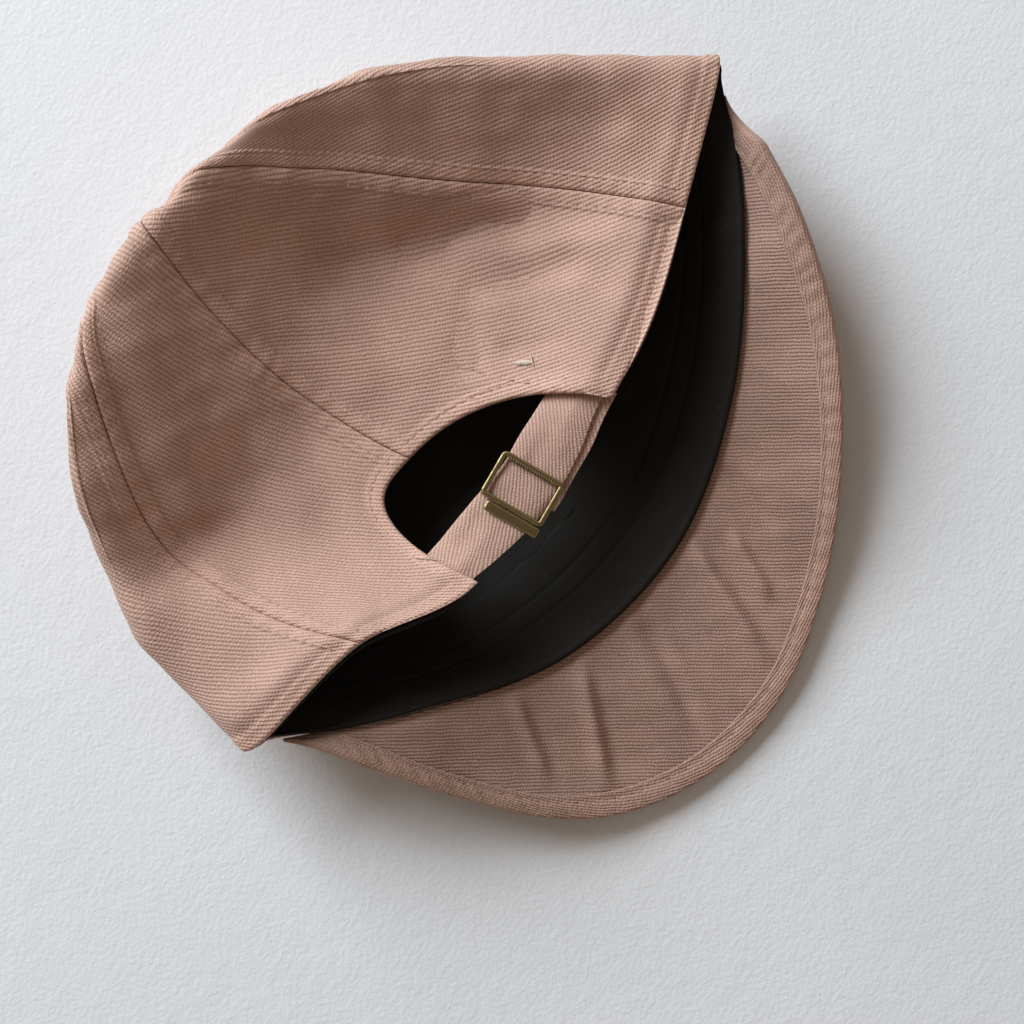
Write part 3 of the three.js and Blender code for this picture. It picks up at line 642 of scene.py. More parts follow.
# One panel: columns from seam to seam, rows from its free edge to the tip, both crowded at the ends.
# The outer face carries the relief, and the inner one lies a cloth below, doubled at the hem.
def crownPanel(name, fromSeam, toSeam, ribs, columns):
    rows = crown["rows"]
    even = np.linspace(0, 1, columns)
    crowded = even - crown["crowding"] * np.sin(2 * math.pi * even) / (2 * math.pi)
    first, last = archSpread(float(rowOf[fromSeam])), archSpread(float(rowOf[toSeam]))
    turn = np.repeat(archGather(lerp(first, last, crowded))[None, :], rows, axis=0)
    start = edgeShare(turn)
    up = np.linspace(0, 1, rows)[:, None] ** 1.25
    share = start + (1 - crown["tipHole"] / lengthAt(turn) - start) * up
    spacing = crownFrame(turn, share)[2]
    turn[:, 0] += crown["seamHalf"] / spacing[:, 0]
    turn[:, -1] -= crown["seamHalf"] / spacing[:, -1]
    point, normal, spacing = crownFrame(turn, share)
    rise, drop, nearSeam, nearEdge = clothRise(turn, share, point, normal, spacing)
    outer = point + normal * (rise - drop)[..., None]
    inner = point - normal * (crown["cloth"] - 0.5 * drop)[..., None]
    inner[..., 2] = np.maximum(inner[..., 2], 5 * floorClear)
    across = acrossPanel(float(rowOf[fromSeam]), float(rowOf[toSeam]), turn, share)
    worn = np.maximum(bell(np.maximum(nearEdge, 0) - 1, 0.4), 0.5 * nearSeam)
    addWall(name + "_cloth", outer, inner, pinkTwill,
            leanedMap(across, share * lengthAt(turn), ribs), name, worn)


for panel in panels:
    crownPanel(*panel)
print("crown sewn from", len(panels), "panels")


band = {"width": 34.0, "thick": 1.1, "loose": 1.2, "near": -2.2, "piping": -0.9, "pipingRise": 0.7,
        "stitchAt": (14.2, 21.5), "channel": 0.5, "rumple": 0.3,
        "joinAt": 1.7, "joinSlant": -0.55, "joinRise": 0.35,  # where its two ends overlap
        "liningThick": 0.9, "liningReach": 118.0, "liningUnder": 1.5,
        "liningSide": 0.3, "liningRumple": 0.3}
strap = {"width": 20.0, "thick": 1.4, "inset": 3.0, "gap": 1.6, "under": 9.0, "sag": 1.0, "bow": 4.0,
         "tail": (0.2, 0.5), "tailShift": 2.5, "wander": 0.3, "layerGap": 0.3, "rumple": 0.14,
         "ribs": -32, "ribScale": 1.3}  # ribs in degrees off its length, and finer than the crown's
strap["depth"] = crown["cloth"] + strap["gap"]
strapTuck = strap["under"] / rimStep


# how far a layer's point lies out from the rim, where it reaches past it over the brim's root
def pastRim(turn, along):
    outward = unit(crownPoint(turn, np.zeros_like(turn)) - crownPoint(turn, np.full_like(turn, 0.03)))
    turned = np.mod(turn, rowCount)
    besideBrim = ease(turned, rowOf["foldLeft"] + 1.0, rowOf["foldLeft"] + 1.7) + 1 - ease(
        turned, rowOf["foldRight"] - 1.7, rowOf["foldRight"] - 1.0)
    return outward * (np.maximum(-along, 0) * besideBrim)[..., None]


# a layer on the crown's inner face: a wall between two places round the rim and two lengths from it
def insideLayer(name, first, last, near, far, grid, thick, relief, material, node):
    rows, columns = grid
    turn = np.repeat(np.linspace(first, last, columns)[None, :], rows, axis=0)
    along = np.repeat(np.linspace(near, far, rows)[:, None], columns, axis=1)
    share = np.maximum(along, 0) / lengthAt(turn)
    top = crown["cloth"] + band["loose"]
    point, normal, spacing = crownFrame(turn, share)
    point = point + pastRim(turn, along)
    edge = np.minimum(np.minimum(along - near, far - along), np.minimum(
        (turn - first) * rimStep, (last - turn) * rimStep))
    rounded = thick * 0.35 * (1 - ease(edge, 0, 1.2))
    outer = point - normal * (top + rounded)[..., None]
    inner = point - normal * (top + thick - rounded + relief(point, along, turn))[..., None]
    across = np.cumsum(spacing, axis=1) * (last - first) / columns
    addWall(name, outer, inner, material, np.stack([across, along], axis=-1), node)


# piping along the edge, a shallow channel at each stitch line, rumples, and the ends' overlap
def bandRelief(point, along, turn):
    rise = band["pipingRise"] * bell(along - band["piping"], 1.0)
    for stitchAt in band["stitchAt"]:
        rise = rise - band["channel"] * bell(along - stitchAt, 0.6)
    rise = rise + band["rumple"] * softWaves(point, 22, 31) * ease(along, 2, 9)
    join = (turn - rowCount - band["joinAt"]) * rimStep - (along - band["width"] / 2) * band["joinSlant"]
    return rise + band["joinRise"] * ease(join, -0.5, 0.5) * (1 - ease(join, 5.0, 9.0))


def liningRelief(point, along, turn):
    return band["liningRumple"] * softWaves(point, 18, 41)


bandFirst = archMiddle + archHalf + strapTuck + 1 / rimStep
bandLast = archMiddle - archHalf - strapTuck - 1 / rimStep + rowCount
insideLayer("sweatband_cloth", bandFirst, bandLast, band["near"], band["width"], (60, 900),
            band["thick"], bandRelief, blackCotton, "sweatband")
liningFirst = rowOf["seamFrontLeft"] + band["liningSide"] / rimStep
liningLast = rowCount + rowOf["seamFrontRight"] - band["liningSide"] / rimStep
insideLayer("front_lining_cloth", liningFirst, liningLast, band["width"] - band["liningUnder"],
            band["liningReach"], (110, 260), band["liningThick"], liningRelief,
            blackLining, "front_lining")
print("band and lining laid in")


brim = {"reach": 61.0, "thick": 1.7, "seamGap": 0.3, "cornerSkip": 1.2, "bindingWidth": 8.0,
        "bindingThick": 0.9, "bindingGap": 0.5, "cornerShare": 0.12, "cornerThick": 0.22}
brimEdge = np.array([
    (0.925, -0.2, 0.46), (0.88, -0.46, 0.49), (0.79, -0.84, 0.47), (0.6, -1.36, 0.36), (0.3, -1.84, 0.21),
    (0.05, -2.09, 0.09), (-0.2, -2.2, 0.05), (-0.43, -2.12, 0.045), (-0.62, -1.88, 0.08),
    (-0.74, -1.55, 0.16), (-0.82, -1.08, 0.28), (-0.88, -0.56, 0.46), (-0.925, -0.22, 0.62),
]) * np.array([crown["halfWidth"], brim["reach"], crown["ridge"]])

# folds that fan out from the seam: from, to, width and rise in millimetres, each a low ridge with a
# furrow along one side
brimFolds = [
    {"from": (4.0, -76.0), "to": (-14.0, -120.0), "width": 3.2, "rise": 1.9},
    {"from": (12.0, -90.0), "to": (2.0, -112.0), "width": 2.8, "rise": 1.5},
    {"from": (-48.0, -70.0), "to": (-78.0, -102.0), "width": 3.2, "rise": 1.7},
    {"from": (-70.0, -58.0), "to": (-88.0, -85.0), "width": 3.0, "rise": 1.5},
    {"from": (-24.0, -76.0), "to": (-46.0, -117.0), "width": 3.6, "rise": -1.3},
    {"from": (30.0, -70.0), "to": (22.0, -100.0), "width": 3.4, "rise": -1.2},
]

seamRuns = np.linspace(0, 1, 2001)
seamTurns = lerp(rowOf["foldRight"] - brim["cornerSkip"],
                 rowOf["foldLeft"] + brim["cornerSkip"] - rowCount, seamRuns)
seamLength = lengthAlong(crownPoint(seamTurns, 0))


# 1 at either end of the seam's run, falling evenly to 0 within a share of it
def atCorner(run, within):
    return 1 - np.clip(np.minimum(run, 1 - run) / within, 0, 1)


# the middle layer's root at the seam and its edge, at shares of the seam's run
def brimRulings(run):
    turn = np.interp(run * seamLength[-1], seamLength, seamTurns)
    seam = crownInside(turn, np.zeros_like(turn), crown["cloth"] / 2 * np.ones_like(turn))
    deeper = crownInside(turn, np.full_like(turn, 0.03), crown["cloth"] / 2 * np.ones_like(turn))
    root = seam + unit(seam - deeper) * 3 * brim["seamGap"]
    edge = openSpline(brimEdge, run)
    return root, edge


# the root, the edge drawn in at both corners, the ways out and off the face, and the reach
def brimFrame(run):
    root, edge = brimRulings(run)
    closing = 1 - (1 - brim["cornerShare"]) * atCorner(run, 0.08) ** 1.6
    edge = root + (edge - root) * closing[..., None]
    before, after = brimRulings(np.clip(run - 0.005, 0, 1)), brimRulings(np.clip(run + 0.005, 0, 1))
    turn = unit(after[0] + after[1] - before[0] - before[1])
    out = unit(edge - root)
    face = unit(np.cross(turn, out))
    face = face * (-1 if np.median(face[..., 2]) < 0 else 1)
    return root, edge, out, face, np.linalg.norm(edge - root, axis=-1)


# both brim and tape thin out to a point at the two corners
def cornerTaper(run):
    return 1 - (1 - brim["cornerThick"]) * atCorner(run, 0.075) ** 1.5


# How far the brim's cloth rises off its ruled surface: the folds, each a bell across its line leant to
# one side, and soft waves, all fading towards the seam and the tape.
def brimRise(outShare, point):
    rise = np.zeros_like(outShare)
    for fold in brimFolds:
        start, run = np.array(fold["from"]), np.array(fold["to"]) - np.array(fold["from"])
        offset = point[..., :2] - start
        reached = offset @ run / (run @ run)
        aside = (run[0] * offset[..., 1] - run[1] * offset[..., 0]) / np.linalg.norm(run) / fold["width"]
        fade = ease(reached, -0.1, 0.25) * (1 - ease(reached, 0.8, 1.15))
        rise = rise + fold["rise"] * fade * (1 - 1.3 * aside) * bell(aside, 1.0)
    inside = ease(outShare, 0, 0.25) * (1 - 0.7 * ease(outShare, 0.8, 1.0))
    return (rise + 0.5 * softWaves(point, 34, 51)) * inside + 0.12 * softWaves(point, 11, 52)


# the image's own right and up, along and across which the brim's ribs lie
ribAlong = np.array([0.562, -0.827, 0.0])
ribAcross = np.array([0.827, 0.562, 0.0])


def brimPiece():
    rows, columns = 120, 520
    run = np.linspace(0, 1, columns)
    root, edge, out, face, reach = brimFrame(run)
    outShare = np.repeat(np.linspace(0, 1, rows)[:, None], columns, axis=1)
    taper = cornerTaper(run)
    length = (reach - brim["bindingThick"] - brim["bindingGap"]) * np.minimum(taper + 0.3, 1)
    length = np.maximum(length, 0.5)
    middle = root + out * (outShare * length)[..., None]
    rise = brimRise(outShare, middle)[..., None]
    half = (brim["thick"] / 2 * taper)[:, None]
    upper = middle + face * (rise + half)
    lower = middle + face * (rise - half)
    upper[..., 2] = np.maximum(upper[..., 2], 0.6)
    uv = np.stack([middle @ ribAlong, middle @ ribAcross], axis=-1)
    addWall("brim_cloth", upper, lower, brimCloth, uv, "brim")


# the tape's section: a U of rounded cloth, as distances out along the brim and up off it
def tapeSection(width):
    inside = brim["thick"] / 2 + brim["bindingGap"]
    outside = inside + brim["bindingThick"]
    bow = np.linspace(-math.pi / 2, math.pi / 2, 13)
    nose = np.stack([np.cos(bow) * 1.1 - 1.1, np.sin(bow) * outside], axis=-1)
    lip = np.linspace(math.pi / 2, 3 * math.pi / 2, 7)[1:-1]
    lipHeight = (inside + outside) / 2 + np.sin(lip) * brim["bindingThick"] / 2
    lipUp = np.stack([np.cos(lip) * 0.6 - width, lipHeight], axis=-1)
    lipDown = np.stack([lipUp[::-1, 0], -lipUp[::-1, 1]], axis=-1)
    flats = np.linspace(-1.6, -width + 0.3, 9)
    topFace = np.stack([flats, np.full(9, outside)], axis=-1)
    under = np.stack([flats[::-1], np.full(9, inside)], axis=-1)
    bottomUnder = np.stack([flats, np.full(9, -inside)], axis=-1)
    bottomFace = np.stack([flats[::-1], np.full(9, -outside)], axis=-1)
    return np.concatenate([nose, topFace, lipUp, under, bottomUnder, lipDown, bottomFace])


tape = {"stitchAt": 6.4, "crown": 0.3, "dent": 0.3, "pucker": 0.16, "puckerStep": 6.3, "ribs": 9,
        "leastWidth": 2.2}


# The tape runs round the brim's edge: its section carried along it, swollen between its stitches and
# its edge, dented at the stitches, with small puckers all along.
def binding():
    columns = 700
    run = np.linspace(0, 1, columns)
    root, edge, out, face, reach = brimFrame(run)
    width = np.maximum(np.minimum(brim["bindingWidth"], reach - tape["leastWidth"]), tape["leastWidth"])
    taper = cornerTaper(run)[:, None]
    widths, which = np.unique(np.round(width, 2), return_inverse=True)
    section = np.stack([tapeSection(w) for w in widths])[which]
    outward, upward = section[..., 0] * taper, section[..., 1] * taper
    length = lengthAlong(edge)
    onFace = np.abs(upward) > brim["thick"] / 2 + brim["bindingGap"] + 0.5 * brim["bindingThick"]
    depth = -outward
    swell = tape["crown"] * np.sin(np.clip(depth / tape["stitchAt"], 0, 1) * math.pi)
    swell = swell - tape["dent"] * bell(depth - tape["stitchAt"], 0.6)
    beat = (length * 2 * math.pi / tape["puckerStep"] + 1.5 * softWaves(edge, 20, 61))[:, None]
    pucker = tape["pucker"] * np.sin(beat - depth * 0.5)
    swell = (swell + pucker * bell(depth - 4.5, 3.0)) * np.where(onFace, np.sign(upward), 0) * taper
    middle = (edge[:, None, :] + out[:, None, :] * outward[..., None]
              + face[:, None, :] * (upward + swell)[..., None])
    rise = brimRise(np.ones_like(outward), middle)
    middle = middle + face[:, None, :] * rise[..., None]
    count = section.shape[1]
    steps = np.linalg.norm(np.diff(section, axis=1), axis=-1)
    girth = np.concatenate([np.zeros((columns, 1)), np.cumsum(steps, axis=1)], axis=1)
    uv = leanedMap(np.repeat(length[:, None], count, axis=1), girth, tape["ribs"]).reshape(-1, 2)
    faces = gridFaces(columns, count, roundColumns=True)
    # each end is closed by a ladder of quads across the U, from its outer line to its inner one
    faces = np.concatenate([faces, endLadder(count, 0), endLadder(count, (columns - 1) * count)[:, ::-1]])
    worn = np.repeat((0.7 * bell(section[0, :, 0], 0.9))[None, :], columns, axis=0)
    addPiece("brim_binding_tape", middle.reshape(-1, 3), faces, bindingCloth, uv,
             ["brim_binding"], worn)


# pairs the U's outer points, its nose, faces and half of each lip, with its inner ones, evenly
def endLadder(count, start):
    upperLip, lowerLip = 13 + 9 + 3, count - 9 - 3
    outerLine = np.concatenate([np.arange(lowerLip, count), np.arange(0, upperLip)])
    innerLine = np.arange(lowerLip - 1, upperLip - 1, -1)
    steps = max(len(outerLine), len(innerLine))
    a = outerLine[np.round(np.linspace(0, len(outerLine) - 1, steps)).astype(int)]
    b = innerLine[np.round(np.linspace(0, len(innerLine) - 1, steps)).astype(int)]
    return np.stack([a[:-1], a[1:], b[1:], b[:-1]], axis=-1) + start


brimPiece()
binding()
print("brim and binding shaped")


# Stitches along a path: one short rounded thread for each pair of points, its ends sunk into the cloth.
def stitchMesh(starts, ends, normals, radius):
    sides, stations = 6, 5
    share = np.linspace(0, 1, stations)
    run = ends - starts
    length = np.linalg.norm(run, axis=-1)
    forward = unit(run)
    side = unit(np.cross(normals, forward))
    face = np.cross(forward, side)
    angle = np.arange(sides) * 2 * math.pi / sides
    thick = radius * np.array([0.45, 0.9, 1.0, 0.9, 0.45])
    dip = radius * np.array([-1.2, -0.225, 0.0, -0.225, -1.2])
    centre = (starts[:, None, :] + run[:, None, :] * share[None, :, None]
              + face[:, None, :] * dip[None, :, None])
    ring = (side[:, None, None, :] * np.cos(angle)[None, None, :, None]
            + face[:, None, None, :] * np.sin(angle)[None, None, :, None]) * thick[None, :, None, None]
    points = (centre[:, :, None, :] + ring).reshape(-1, 3)
    one = gridFaces(stations, sides, roundColumns=True)
    caps = np.array([[0, 1, 2, 3], [0, 3, 4, 5]])
    lastRing = (stations - 1) * sides
    one = np.concatenate([one, caps[:, ::-1], caps + lastRing])
    faces = (one[None] + (np.arange(len(starts)) * sides * stations)[:, None, None]).reshape(-1, 4)
    u = np.repeat((length[:, None] * share[None, :])[:, :, None], sides, axis=2)
    v = np.broadcast_to(angle / (2 * math.pi), u.shape)
    uv = np.stack([u, v], axis=-1).reshape(-1, 2)
    return points, faces, uv


# cuts a path of points into stitches of one length with gaps between
def cutPath(points, normals, length, gap):
    run = lengthAlong(points)
    starts = np.arange(0, run[-1] - length, length + gap)

    def at(values, where):
        return np.stack([np.interp(where, run, values[:, axis]) for axis in range(3)], axis=1)

    return at(points, starts), at(points, starts + length), unit(at(normals, starts + length / 2))


def addStitches(name, paths, radius, material):
    starts, ends, normals = (np.concatenate(parts) for parts in zip(*paths))
    points, faces, uv = stitchMesh(starts, ends, normals, radius)
    addPiece(name, points, faces, material, uv)


topstitch = {"length": 2.3, "gap": 0.9, "radius": 0.2, "lift": 0.02}
tapeStitch = {"length": 2.4, "gap": 0.8, "radius": 0.2, "lift": 0.05}
bandStitch = {"length": 2.6, "gap": 0.9, "radius": 0.2, "lift": 0.05}


# beside a seam, from near its free edge to near the tip
def seamPath(seam, side):
    start = float(edgeShare(np.array([float(seam) + side * 0.1]))[0]) + 0.02
    share = np.linspace(start, 0.93, 900)
    spacing = crownFrame(np.full_like(share, seam), share)[2]
    turn = seam + side * relief["stitchAt"] / spacing
    points, normals = clothPoint(turn, share, topstitch["lift"])
    return cutPath(points, normals, topstitch["length"], topstitch["gap"])


# round the arch, outside its edge
def archPath():
    angle = np.linspace(0.06, math.pi - 0.06, 1200)
    across = -np.cos(angle)
    wide = arch["width"] / 2 + relief["archStitchAt"]
    tall = arch["height"] + relief["archStitchAt"]
    turn = archMiddle + wide * across / rimStep
    share = tall * archRise(across) / lengthAt(turn)
    points, normals = clothPoint(turn, share, topstitch["lift"])
    return cutPath(points, normals, topstitch["length"], topstitch["gap"])


seamPaths = [seamPath(seam, side) for seam in seams for side in (-1, 1)]
addStitches("crown_topstitching", seamPaths + [archPath()], topstitch["radius"], pinkThread)


# along the tape, on the brim's upper face and its lower one
def tapePath(sign):
    run = np.linspace(0.03, 0.97, 2000)
    root, edge, out, face, reach = brimFrame(run)
    taper = cornerTaper(run)[:, None]
    depth = np.minimum(tape["stitchAt"], reach - 3.2)[:, None] * taper
    lift = (brim["thick"] / 2 + brim["bindingGap"] + brim["bindingThick"] - tape["dent"]) * taper
    points = edge - out * depth + face * (sign * (lift + tapeStitch["lift"]))
    points = points + face * brimRise(np.ones_like(run), points)[:, None]
    return cutPath(points, face * sign, tapeStitch["length"], tapeStitch["gap"])


addStitches("binding_stitching", [tapePath(1), tapePath(-1)], tapeStitch["radius"], pinkThread)


def bandPath(along):
    turn = np.linspace(bandFirst + 0.05, bandLast - 0.05, 3000)
    point, normal, spacing = crownFrame(turn, along / lengthAt(turn))
    depth = crown["cloth"] + band["loose"] + band["thick"] + bandRelief(point, along, turn)
    points = point - normal * (depth + bandStitch["lift"])[:, None]
    return cutPath(points, -normal, bandStitch["length"], bandStitch["gap"])


bandPaths = [bandPath(along) for along in band["stitchAt"]]
addStitches("band_stitching", bandPaths, bandStitch["radius"], blackThread)
print("stitches sewn")


# Lines of the strap: under the crown at both ends, free across the arch, bowed out and sagging, and
# level across its own width at the middle.
def strapLine(aside, depth, share):
    def at(turn, beside, down):
        turn = np.array([turn])
        fromRim = strap["inset"] + strap["width"] / 2 + beside
        return crownInside(turn, fromRim / lengthAt(turn), np.array([down]))[0]

    turnRight, turnLeft = archMiddle - archHalf, archMiddle + archHalf
    right, left = at(turnRight, 0, strap["depth"]), at(turnLeft, 0, strap["depth"])
    level = unit(np.cross(left - right, [0, 0, 1]))
    drop = strap["sag"] + depth - strap["depth"]
    middle = (right + left) / 2 + level * aside - np.array([0, strap["bow"], drop])
    return openSpline([at(turnRight - strapTuck, aside, depth), at(turnRight, aside, depth), middle,
                       at(turnLeft, aside, depth), at(turnLeft + strapTuck, aside, depth)], share)


# A length of strap: its lines side by side, rounded at the edges, lightly rumpled.
def strapPiece(name, first, last, shift, layer, node, bulge=None):
    rows, columns = 41, max(int((last - first) * 260), 40)
    share = np.linspace(first, last, columns)
    cross = np.sin(np.linspace(-1, 1, rows) * math.pi / 2)
    half = strap["width"] / 2
    top = strap["depth"] + layer * (strap["thick"] + strap["layerGap"])
    middle = np.stack([strapLine(shift + half * c, top + strap["thick"] / 2, share) for c in cross])
    along = unit(np.gradient(middle, axis=1))
    side = unit(np.gradient(middle, axis=0))
    wander = strap["wander"] * softWaves(middle, 24, 75 + layer) * np.abs(cross[:, None])
    middle = middle + side * wander[..., None]
    face = unit(np.cross(along, side))
    face = face * np.where(face[..., 2:3] < 0, -1, 1)
    thick = strap["thick"] / 2 * (1 - 0.75 * np.abs(cross[:, None]) ** 8)
    rumple = strap["rumple"] * softWaves(middle, 10, 71 + layer)
    ends = np.minimum(share - first, last - share) * 90
    thick = thick * (0.4 + 0.6 * ease(ends, 0, 0.8))[None, :]
    lift = rumple + (bulge(share, cross[:, None]) if bulge else 0)
    upper = middle + face * (thick + lift)[..., None]
    lower = middle + face * (lift - thick)[..., None]
    ahead = np.repeat(lengthAlong(middle[rows // 2])[None, :], rows, axis=0)
    aside = np.repeat(half * cross[:, None], columns, axis=1)
    uv = strap["ribScale"] * leanedMap(ahead, aside, strap["ribs"])
    worn = np.repeat((0.7 * bell(np.abs(cross) - 1, 0.06))[:, None], columns, axis=1)
    addWall(name, upper, lower, pinkTwill, uv, node, worn)


buckle = {"across": 22.5, "along": 16.0, "bar": 1.7, "thick": 1.5, "corner": 1.9, "turn": math.radians(6),
          "share": 0.5, "clear": 0.8, "toothStep": 0.85, "tooth": 0.5, "barSides": 16,
          "plateAlong": 3.4, "plateAcross": 19.0, "plateThick": 0.9, "plateCorner": 0.9, "plateGap": 0.3}


# the strap swells up inside the buckle's window, then dives under its other end
def windowBulge(share, cross):
    near = bell((share - buckle["share"]) * 95 / 6.0, 0.75)
    dive = ease(share, buckle["share"] + 0.052, buckle["share"] + 0.068)
    return near * (1 - cross ** 6) - 1.7 * dive


strapPiece("strap_right_cloth", 0.0, buckle["share"] + 0.09, 0.0, 0, "strap_right", windowBulge)
strapPiece("strap_left_cloth", buckle["share"] + 0.06, 1.0, 0.0, 0, "strap_left")
strapPiece("strap_tail_cloth", *strap["tail"], -strap["tailShift"], 1, "strap_tail")
print("strap threaded")


# the buckle's own axes on the strap: along it, across it and off its face
def buckleAxes():
    depth = strap["depth"]
    shares = np.array([buckle["share"] - 0.002, buckle["share"], buckle["share"] + 0.002])
    line = strapLine(0.0, depth, shares)
    centre, along = line[1], unit(line[2] - line[0])
    across = unit(strapLine(strap["width"] / 2, depth, shares)[1] - centre)
    face = unit(np.cross(along, across))
    face = face * (-1 if face[2] < 0 else 1)
    across = unit(np.cross(face, along))
    c, s = math.cos(buckle["turn"]), math.sin(buckle["turn"])
    return centre, along * c + across * s, across * c - along * s, face


# a rounded rectangle's outline as points and outward directions, evenly spaced
def roundedOutline(long, wide, corner, count):
    quarter = math.pi / 2 * corner
    sides = [long - 2 * corner, quarter, wide - 2 * corner, quarter] * 2
    run = np.linspace(0, sum(sides), count, endpoint=False)
    points, directions = np.zeros((count, 2)), np.zeros((count, 2))
    position, passed, angle = np.array([-long / 2 + corner, -wide / 2]), 0.0, 0.0
    for index, length in enumerate(sides):
        here = (run >= passed) & (run < passed + length)
        forward = np.array([math.cos(angle), math.sin(angle)])
        outward = np.array([forward[1], -forward[0]])
        if index % 2 == 0:
            points[here] = position + (run[here] - passed)[:, None] * forward
            directions[here] = outward
            position = position + forward * length
        else:
            swing = angle + (run[here] - passed) / corner - math.pi / 2
            centre = position - outward * corner
            directions[here] = np.stack([np.cos(swing), np.sin(swing)], axis=-1)
            points[here] = centre + corner * directions[here]
            angle += math.pi / 2
            position = centre + corner * np.array([math.sin(angle), -math.cos(angle)])
        passed += length
    return points, directions


# The frame: a rounded bar carried round the outline. The bar that grips the strap has teeth inside.
def buckleFrame():
    centre, along, across, face = buckleAxes()
    count = 640  # points round the outline
    line, outward = roundedOutline(buckle["along"], buckle["across"], buckle["corner"], count)
    angle = np.arange(buckle["barSides"]) * 2 * math.pi / buckle["barSides"]
    wide = np.sign(np.cos(angle)) * np.abs(np.cos(angle)) ** 0.6 * buckle["bar"] / 2
    tall = np.sign(np.sin(angle)) * np.abs(np.sin(angle)) ** 0.6 * buckle["thick"] / 2
    grips = ease(-line[:, 0], buckle["along"] / 2 - 0.3, buckle["along"] / 2 - 0.1) * ease(
        buckle["across"] / 2 - 2.6 - np.abs(line[:, 1]), 0, 0.3)
    tooth = np.abs((line[:, 1] / buckle["toothStep"]) % 1 - 0.5) * 2
    inner = np.where(wide < 0, -buckle["tooth"], 0.0)[None, :] * (grips * ease(tooth, 0.25, 0.75))[:, None]
    offset = wide[None, :] - buckle["bar"] / 2 + inner
    flat = line[:, None, :] + outward[:, None, :] * offset[..., None]
    points = (centre + flat[..., 0:1] * along + flat[..., 1:2] * across
              + (tall[None, :] + buckle["clear"] + buckle["thick"] / 2)[..., None] * face)
    worn = np.repeat(((np.abs(np.cos(angle)) * np.abs(np.sin(angle)) * 2) ** 0.6)[None, :], count, axis=0)
    faces = gridFaces(count, buckle["barSides"], roundRows=True, roundColumns=True)
    addPiece("buckle_frame_brass", points.reshape(-1, 3), faces, antiqueBrass,
             np.zeros((points.size // 3, 2)), ["buckle_frame"], worn * (tall > 0))


# The lever plate: rings of a rounded bar, in from its edge above and below, each face closed by quads
# straight across its last ring. It lies beyond the frame's bar, flush with the frame's inner end.
def bucklePlate():
    centre, along, across, face = buckleAxes()
    count = 240
    line, outward = roundedOutline(buckle["plateAlong"], buckle["plateAcross"], buckle["plateCorner"], count)
    inset = np.array([0.7, 0.5, 0.25, 0.08, 0.0, 0.0, 0.08, 0.25, 0.5, 0.7])
    rise = np.array([0.45, 0.43, 0.36, 0.24, 0.1, -0.1, -0.24, -0.36, -0.43, -0.45])
    flat = line[None, :, :] - outward[None, :, :] * inset[:, None, None]
    flat = flat + [buckle["along"] / 2 + buckle["plateGap"] + buckle["plateAlong"] / 2,
                   (buckle["across"] - buckle["plateAcross"]) / 2]
    lift = rise + buckle["clear"] + buckle["plateThick"] / 2
    points = centre + flat[..., 0:1] * along + flat[..., 1:2] * across + lift[:, None, None] * face
    left = np.arange(count // 2)
    right = count - 1 - left
    cap = np.stack([left[:-1], left[1:], right[1:], right[:-1]], axis=-1)
    faces = np.concatenate([gridFaces(len(inset), count, roundColumns=True), cap[:, ::-1],
                            cap + (len(inset) - 1) * count])
    worn = np.repeat(np.array([0.2, 0.5, 1, 1, 0.5, 0, 0, 0, 0, 0])[:, None], count, axis=1)
    addPiece("buckle_plate_brass", points.reshape(-1, 3), faces, antiqueBrass,
             np.zeros((points.size // 3, 2)), ["buckle_plate"], worn)


buckleFrame()
bucklePlate()
print("buckle cast")


# each bartack: its place on the crown, its turn off the picture's own level, its size and its threads
bartacks = [
    {"turn": 7.288, "along": 33.4, "lean": 1, "long": 5.3, "wide": 1.9, "threads": 17, "loose": 2.4},
    {"turn": 8.892, "along": 18.2, "lean": -14, "long": 9.0, "wide": 0.35, "threads": 13, "loose": 0.3},
]


# A bartack is a row of short threads side by side across its line, over a core, with a loose end.
def bartack(tack, seed):
    random = np.random.default_rng(seed)
    turn = np.array([tack["turn"]])
    point, normal = clothPoint(turn, tack["along"] / lengthAt(turn), 0.5)
    level = unit(ribAlong - normal[0] * (ribAlong @ normal[0]))
    lean = math.radians(tack["lean"])
    ahead = level * math.cos(lean) + np.cross(normal[0], level) * math.sin(lean)
    across = np.cross(normal[0], ahead)
    place = np.linspace(-0.5, 0.5, tack["threads"])
    slant = random.normal(size=tack["threads"]) * 0.1
    half = tack["wide"] / 2 * (1 - 0.5 * np.abs(2 * place) ** 4)
    middle = point[0] + place[:, None] * ahead * tack["long"]
    starts = middle + across * (half + slant)[:, None] - ahead * 0.2
    ends = middle - across * (half - slant)[:, None] + ahead * 0.2
    tip = point[0] + ahead * tack["long"] / 2
    starts = np.concatenate([starts, [tip + across * tack["loose"] - ahead * 0.3]])
    ends = np.concatenate([ends, [tip - across * 0.8 * tack["loose"] + ahead * 0.9]])
    return starts, ends, np.repeat(normal, len(starts), axis=0)


tackPaths = [bartack(tack, 80 + index) for index, tack in enumerate(bartacks)]
addStitches("bartacks", tackPaths, 0.27, creamThread)
print("bartacks sewn")


studio = {
    "floorHalf": 4.0,
    "eye": (-23.7, -26.8, 760.0), "turn": math.radians(-55.8), "lens": 80.97,
    "lampDirection": (0.19, 0.98, 0.62), "lampDistance": 2.8, "lampSize": 1.6, "lampPower": 85.0,
    "lampColor": (0.895, 0.967, 1.035), "fill": (0.242, 0.204, 0.173, 1), "fillStrength": 1.0,
}


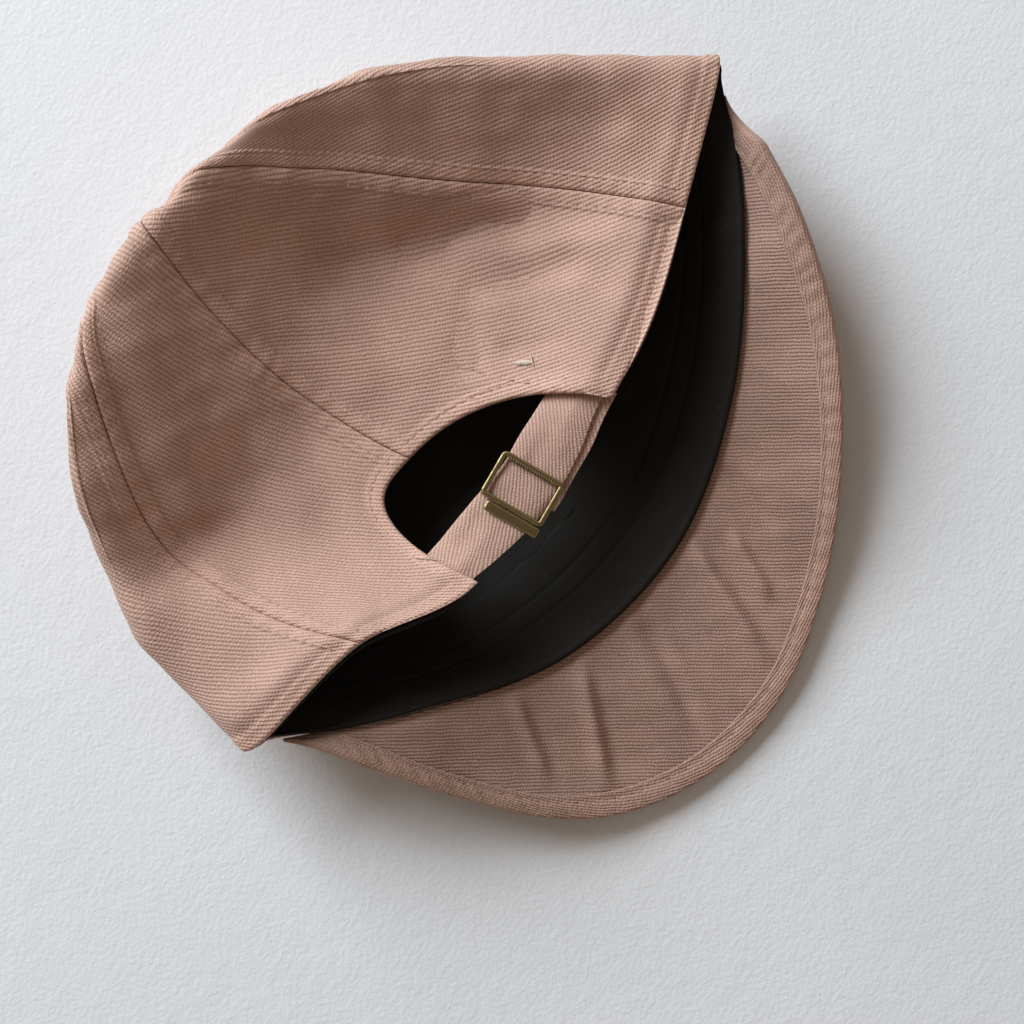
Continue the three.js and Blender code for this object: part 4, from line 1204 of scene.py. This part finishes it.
def plasterMaterial():
    material, shader = newMaterial("plaster", {"Roughness": 0.75, "Specular IOR Level": 0.2})
    place = placeInSpace(shader)
    height = plus(noise(place, 620, 5, 0.6), times(noise(place, 150, 3, 0.5), 0.8))
    tone = span(noise(place, 7, 4, 0.6), 0.3, 0.7, 0.0, 1.0)
    color = mixColor(tone, (0.80, 0.825, 0.85, 1), (0.85, 0.865, 0.88, 1))
    dressShader(shader, color, height, 6e-4, 0.45)
    return material


def buildStudio():
    mesh = bpy.data.meshes.new("floor")
    half = studio["floorHalf"]
    corners = [(-half, -half, 0), (half, -half, 0), (half, half, 0), (-half, half, 0)]
    mesh.from_pydata(corners, [], [(0, 1, 2, 3)])
    mesh.materials.append(plasterMaterial())
    floor = bpy.data.objects.new("floor", mesh)
    bpy.context.collection.objects.link(floor)

    lamp = bpy.data.lights.new("window", "AREA")
    lamp.shape, lamp.size, lamp.energy = "SQUARE", studio["lampSize"], studio["lampPower"]
    lamp.color = studio["lampColor"]
    direction = unit(np.array(studio["lampDirection"]))
    window = bpy.data.objects.new("window", lamp)
    window.location = direction * studio["lampDistance"]
    window.rotation_euler = (math.acos(direction[2]), 0, math.atan2(direction[1], direction[0]) + math.pi / 2)
    bpy.context.collection.objects.link(window)

    world = bpy.data.worlds.new("room")
    world.use_nodes = True
    background = world.node_tree.nodes["Background"]
    background.inputs["Color"].default_value = studio["fill"]
    background.inputs["Strength"].default_value = studio["fillStrength"]
    bpy.context.scene.world = world

    camera = bpy.data.objects.new("camera", bpy.data.cameras.new("camera"))
    camera.data.lens = studio["lens"]
    camera.data.sensor_width = 36.0
    camera.data.clip_start, camera.data.clip_end = 0.01, 20
    camera.location = (np.array(studio["eye"]) + frameShift) * toMetres
    camera.rotation_euler = (0, 0, studio["turn"])
    bpy.context.collection.objects.link(camera)
    bpy.context.scene.camera = camera
    bpy.context.scene.view_settings.view_transform = "Standard"
    bpy.context.scene.view_settings.look = "Medium High Contrast"


buildStudio()
print("studio lit")
